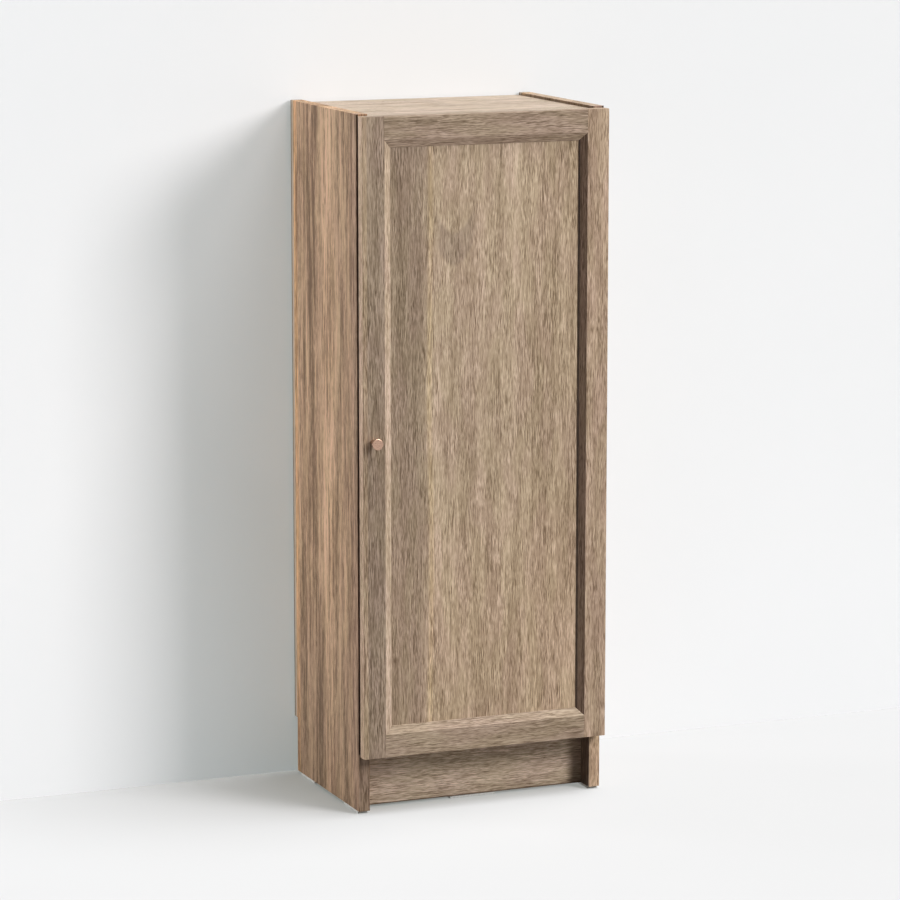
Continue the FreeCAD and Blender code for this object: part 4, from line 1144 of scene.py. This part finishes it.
# Flutes round a dowel, and how much of its width is left at its ends
FLUTES, END_WIDTH = 16, 0.72
rod = round_bar(dowel, given["Diameter"], given["Length"], vertices=2 * FLUTES, segments=24)
spot = spot_in(dowel)
angle = dowel.math("ARCTAN2", spot["Y"], spot["X"])
waves = dowel.math("COSINE", dowel.times(angle, float(FLUTES)))
flute = dowel.times(dowel.minus(waves, 1.0), 0.5, given["Flute Depth"])
to_end = dowel.minus(dowel.over(given["Length"], 2.0), dowel.math("ABSOLUTE", spot["Z"]))
ends = dowel.ramp(to_end, 0.0, given["Chamfer"], END_WIDTH, 1.0, "LINEAR")
factor = dowel.times(dowel.plus(1.0, flute), ends)
rod = reshaped(dowel, rod, factor, dowel.over(given["Length"], -2.0))
dowel_set = finish_group(dowel, sink, Geometry=stand_on_points(dowel, given, rod))

# %% Dowels
for node, body, width in (
    ("top_dowels", "root", 8 * MM),
    ("bottom_dowels", "root", 8 * MM),
    ("plinth_dowels", "root", 8 * MM),
    ("door_frame_dowels", "door", 6 * MM),
):
    finish = (body, "dowel_wood", dowel_beech)
    stand(dowel_set, node, RIGHT, finish, edge=0.0, Turn=1.0, Diameter=width)

# %% [markdown]
# ## Shelf pins
#
# Each loose shelf lies on four steel pins. A pin is a round peg in the side board, with a
# flat-topped spoon that reaches under the shelf. A spoon bent from sheet would need a curved
# surface. The tree builds it from a box whose lower edge is narrowed, so its top stays flat.

# %% Pin tree
pin, given, sink = new_set(
    "pin_set",
    {
        "Peg Diameter": 5 * MM,
        "Peg Length": 8 * MM,
        "Spoon Length": 8 * MM,
        "Spoon Width": 6.4 * MM,
        "Taper": 0.5,
    },
)
# How long the pointed end of the peg is, and how much of its width is left there
TIP_LENGTH, TIP_SHARE = 1.2 * MM, 0.7
peg = round_bar(pin, given["Peg Diameter"], given["Peg Length"], vertices=28, segments=12)
from_tip = pin.plus(spot_in(pin)["Z"], pin.over(given["Peg Length"], 2.0))
point = pin.ramp(from_tip, 0.0, TIP_LENGTH, TIP_SHARE, 1.0, "LINEAR")
down = pin.minus(pin.over(given["Peg Length"], -2.0), given["Spoon Length"])
peg = reshaped(pin, peg, point, down)
size = pin.join(given["Peg Diameter"], given["Spoon Width"], given["Spoon Length"])
feeds = {"Size": size, "Vertices X": 3, "Vertices Y": 3, "Vertices Z": 2}
spoon = pin.add("GeometryNodeMeshCube", feeds).outputs["Mesh"]
spot = spot_in(pin)
lowest = pin.over(given["Peg Diameter"], -2.0)
lower = pin.ramp(spot["X"], 0.0, lowest, 1.0, given["Taper"], "LINEAR")
z = pin.minus(spot["Z"], pin.over(given["Spoon Length"], 2.0))
spoon = moved_to(pin, spoon, spot["X"], pin.times(spot["Y"], lower), z)
both = pin.add("GeometryNodeJoinGeometry", {"Geometry": [peg, spoon]}).outputs[0]
pin_set = finish_group(pin, sink, Geometry=stand_on_points(pin, given, both))

# %% Pins under both shelves
# Aligned like this, each pin has its X axis turned up, and with it the flat top of its spoon
for level in ("lower", "upper"):
    spots, ways = from_both_sides(level + "_shelf_pins")
    pins = stand(pin_set, level + "_shelf_pins", ways, CARCASS_STEEL, spots, edge=0.25 * MM)

# %% [markdown]
# ## Bumpers
#
# Two soft pads on the back of the door keep it off the side board. Real ones are moulded with a
# domed face and glued on. A tree of their own would repeat most of the screw tree, so that tree
# makes them as a head with a high crown and no cross.

# %% Bumpers
stand(screw_set, "door_bumpers", REAR, ("door", "bumper_rubber", soft_rubber), edge=0.3 * MM,
      Head_Diameter=8 * MM, Head_Height=3.7 * MM, Crown=0.7, Recess=0.0,
      Shank_Diameter=3 * MM, Shank_Length=1.0 * MM, Ring_Depth=0.0, Tip_Length=0.1 * MM)

# %% [markdown]
# ## Knob
#
# The knob is turned from solid metal: a narrow foot on the door, a cone that opens towards the
# hand and a flat face with a rounded rim. A lathe shape is best made as a lathe makes it, so its
# profile is spun round the axis. Spinning can leave faces inside out, so the normals are set
# again once the seam is merged.

# %% Turned knob
def turned(name, profile, axis_point, steps=72):
    """Spins a profile of (radius, height above the door) round an axis that looks to -Y."""
    shell = bmesh.new()
    ring = [shell.verts.new((radius, -height, 0.0)) for radius, height in profile]
    edges = [shell.edges.new(pair) for pair in zip(ring, ring[1:])]
    bmesh.ops.spin(shell, geom=ring + edges, cent=(0, 0, 0), axis=(0, 1, 0),
                   angle=math.tau, steps=steps)
    bmesh.ops.remove_doubles(shell, verts=shell.verts, dist=0.01 * MM)
    bmesh.ops.recalc_face_normals(shell, faces=shell.faces)
    bmesh.ops.translate(shell, verts=shell.verts, vec=axis_point)
    return smooth_piece(shell, name)


def arc(centre, radius, start, end, steps=6):
    """Points of a rounded edge in the profile, with angles in degrees."""
    turns = [math.radians(start + (end - start) * i / steps) for i in range(steps + 1)]
    return [(centre[0] + radius * math.cos(a), centre[1] + radius * math.sin(a)) for a in turns]


low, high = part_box("door_knob")
knob_axis = Vector(((low.x + high.x) / 2, high.y, (low.z + high.z) / 2))
# The height of the knob and the radii of its face, foot and rim, from the frame where it has them
LONG, FACE = high.y - low.y, (high.x - low.x) / 2
FOOT, NECK, RIM, HOLLOW = 4.5 * MM, 2 * MM, 1 * MM, 0.2 * MM
profile = [(0, 0), (FOOT, 0), (FOOT, NECK - 0.1 * MM), (FOOT + 0.1 * MM, NECK + 0.1 * MM)]
profile += [(FACE - 0.02 * MM, LONG - 2 * RIM)]
profile += arc((FACE - RIM, LONG - RIM), RIM, 0, 90)
profile += [(FACE - 2 * RIM, LONG), (FACE / 2, LONG - 0.75 * HOLLOW), (0, LONG - HOLLOW)]
knob = turned("door_knob_finish", profile, knob_axis)
round_edges(knob, 0.12 * MM, 25)
knob = dress(baked(knob), "door", "knob_metal", satin_copper, "door_knob")
print("knob", len(knob.data.polygons), "faces")

# %% [markdown]
# ## Lights
#
# A large key light stands to the right in front of the door, and its shadow falls to the left on
# the wall. A wide overhead light brightens the top and the floor, and a low fill from the left
# keeps the side board from going dark. All three are soft, as in a product picture, and together
# they light the door at about the level at which a colour renders as it is written.

# %% Lights
# A lamp stands at its distance along its way from the focus; level 1 turns white paint to white
FOCUS = Vector((0.0, 0.0, 0.55))
KEY_WAY, KEY_DISTANCE, KEY_LEVEL = Vector((0.53, -0.71, 0.47)), 4.1, 0.76
FILL_WAY, FILL_DISTANCE, FILL_LEVEL = Vector((-0.8, 0.56, -0.02)), 4.5, 0.6
OVERHEAD_WAY, OVERHEAD_SPREAD, OVERHEAD_LEVEL = Vector((0.24, -0.16, 0.95)), 38, 1.1
WORLD_LEVEL = 0.1


def soft_light(name, way, distance, width, level):
    """A square lamp that looks at the cabinet."""
    lamp = linked(name, bpy.data.lights.new(name, "AREA"))
    lamp.location = FOCUS + way.normalized() * distance
    lamp.rotation_euler = way.to_track_quat("Z", "Y").to_euler()
    lamp.data.shape = "SQUARE"
    lamp.data.size = width
    lamp.data.energy = level * math.pi**2 * distance**2
    lamp.visible_camera = False
    print(name, "at", [round(v, 2) for v in lamp.location], round(lamp.data.energy), "W")
    return lamp


key = soft_light("key_light", KEY_WAY, KEY_DISTANCE, width=1.45, level=KEY_LEVEL)
fill = soft_light("side_fill", FILL_WAY, FILL_DISTANCE, width=1.2, level=FILL_LEVEL)
overhead = linked("overhead", bpy.data.lights.new("overhead", "SUN"))
overhead.rotation_euler = OVERHEAD_WAY.to_track_quat("Z", "Y").to_euler()
overhead.data.energy = OVERHEAD_LEVEL * math.pi
overhead.data.angle = math.radians(OVERHEAD_SPREAD)

# %% [markdown]
# ## World, floor and wall
#
# Floor and wall are one pale grey, and only the shadow shows where they meet. A lamp this close
# falls off across the wall, so a photographer would even it out with a second lamp. Here the
# paint does it: the material works out what the lamps send to each spot, and for the camera
# its own glow fills up what is missing. Light that bounces sees plain grey paint instead, and the
# wall lets it through, so that the back and the left side still get their light.

# %% World
def seen_rays(tree):
    """One for rays that show the backdrop: camera, glossy and transmission rays."""
    rays = tree.add("ShaderNodeLightPath").outputs
    seen = tree.math("MAXIMUM", rays["Is Camera Ray"], rays["Is Glossy Ray"])
    return tree.math("MAXIMUM", seen, rays["Is Transmission Ray"])


# How bright the backdrop shows, as linear light
PAPER_LEVEL = 0.905
world = bpy.data.worlds.new("studio")
bpy.context.scene.world = world
world.use_nodes = True
world.node_tree.nodes.clear()
sky = Tree(world.node_tree)
strength = sky.ramp(seen_rays(sky), 0.0, 1.0, WORLD_LEVEL, PAPER_LEVEL, "LINEAR")
background = sky.add("ShaderNodeBackground", {"Strength": strength})
sky.add("ShaderNodeOutputWorld", {"Surface": background.outputs[0]})
print("world at", WORLD_LEVEL, "for light and at", PAPER_LEVEL, "for the camera")

# %% Backdrop paint
# The plain grey that bounced light sees
BOUNCE = 0.3


def lamp_share(tree, place, normal, lamp, way, level, distance):
    """What a lamp sends to a spot of the backdrop that nothing shades."""
    to_lamp = tree.vector_math("SUBTRACT", tuple(lamp.location), place)
    arrives = tree.vector_math("DOT_PRODUCT", to_lamp, normal)
    leaves = tree.vector_math("DOT_PRODUCT", to_lamp, tuple(way.normalized()))
    product = tree.times(tree.math("MAXIMUM", arrives, 0.0), tree.math("MAXIMUM", leaves, 0.0))
    fall = tree.math("POWER", tree.vector_math("LENGTH", to_lamp), 4.0)
    return tree.times(tree.over(product, fall), level * distance**2)


def paper_shader(tree, paint, glow, shown):
    """Matt paint with its glow, clear where it isn't shown."""
    surface = tree.add("ShaderNodeBsdfDiffuse", {"Color": tree.join(*paint)})
    light = tree.add("ShaderNodeEmission", {"Color": tree.join(*glow)})
    shader = tree.add("ShaderNodeAddShader", {0: surface.outputs[0], 1: light.outputs[0]})
    clear = tree.add("ShaderNodeBsdfTransparent")
    feeds = {0: shown, 1: clear.outputs[0], 2: shader.outputs[0]}
    mixed = tree.add("ShaderNodeMixShader", feeds)
    tree.add("ShaderNodeOutputMaterial", {"Surface": mixed.outputs[0]})


def backdrop_paint(name, normal, tint, key_part, palest, other_light, see_through):
    """Even pale paint: palest is its own tone, and glow adds what the lamps leave out."""
    material, tree = new_material(name)
    seen = seen_rays(tree)
    place = tree.place()
    share = lamp_share(tree, place, normal, key, KEY_WAY, KEY_LEVEL, KEY_DISTANCE)
    fill_share = lamp_share(tree, place, normal, fill, FILL_WAY, FILL_LEVEL, FILL_DISTANCE)
    tone = tree.over(key_part, tree.math("MAXIMUM", share, 0.01))
    tone = tree.math("MINIMUM", tone, palest)
    share = tree.plus(share, fill_share)
    most = tree.over(PAPER_LEVEL / max(tint), tree.plus(share, max(other_light)))
    tone = tree.math("MINIMUM", tone, most)
    cloud = tree.ramp(tree.noise(place, 3.0, 3.0), 0.3, 0.7, 0.99, 1.0)
    paint, glow = [], []
    for channel, other in zip(tint, other_light):
        lit = tree.times(tone, tree.plus(share, other))
        missing = tree.minus(PAPER_LEVEL, tree.times(lit, channel))
        glow.append(tree.times(tree.math("MAXIMUM", missing, 0.0), seen))
        painted = tree.times(tone, cloud, channel)
        paint.append(tree.ramp(seen, 0.0, 1.0, BOUNCE, painted, "LINEAR"))
    back = tree.add("ShaderNodeNewGeometry").outputs["Backfacing"]
    shown = tree.minus(1.0, tree.times(seen, back))
    if see_through:
        shown = tree.times(seen, tree.minus(1.0, back))
    paper_shader(tree, paint, glow, shown)
    return material


print("bounced light sees a grey of", BOUNCE)

# %% Floor and wall
STAGE_REACH, WALL_GAP = 14.0, 3 * MM


def sheet_of_paper(name, corners, material):
    mesh = bpy.data.meshes.new(name)
    mesh.from_pydata(corners, [], [(0, 1, 2, 3)])
    mesh.materials.append(material)
    sheet = linked(name, mesh)
    print(name, "with", material.name)


r, wall_y = STAGE_REACH, cad_box[1].y + WALL_GAP
# A little more red in the paint makes the shadow on the wall as neutral as the wall
floor_paint = backdrop_paint("floor_paint", normal=(0, 0, 1), tint=(1.01, 1, 1.03), key_part=0.16,
                             palest=0.55, other_light=(1.11, 1.1, 1.09), see_through=False)
wall_paint = backdrop_paint("wall_paint", normal=(0, -1, 0), tint=(1.05, 1, 1.01), key_part=0.36,
                            palest=0.79, other_light=(0.44, 0.43, 0.42), see_through=True)
sheet_of_paper("floor", [(-r, -r, 0), (r, -r, 0), (r, r, 0), (-r, r, 0)], floor_paint)
sheet_of_paper("wall", [(-r, wall_y, 0), (r, wall_y, 0), (r, wall_y, r), (-r, wall_y, r)], wall_paint)
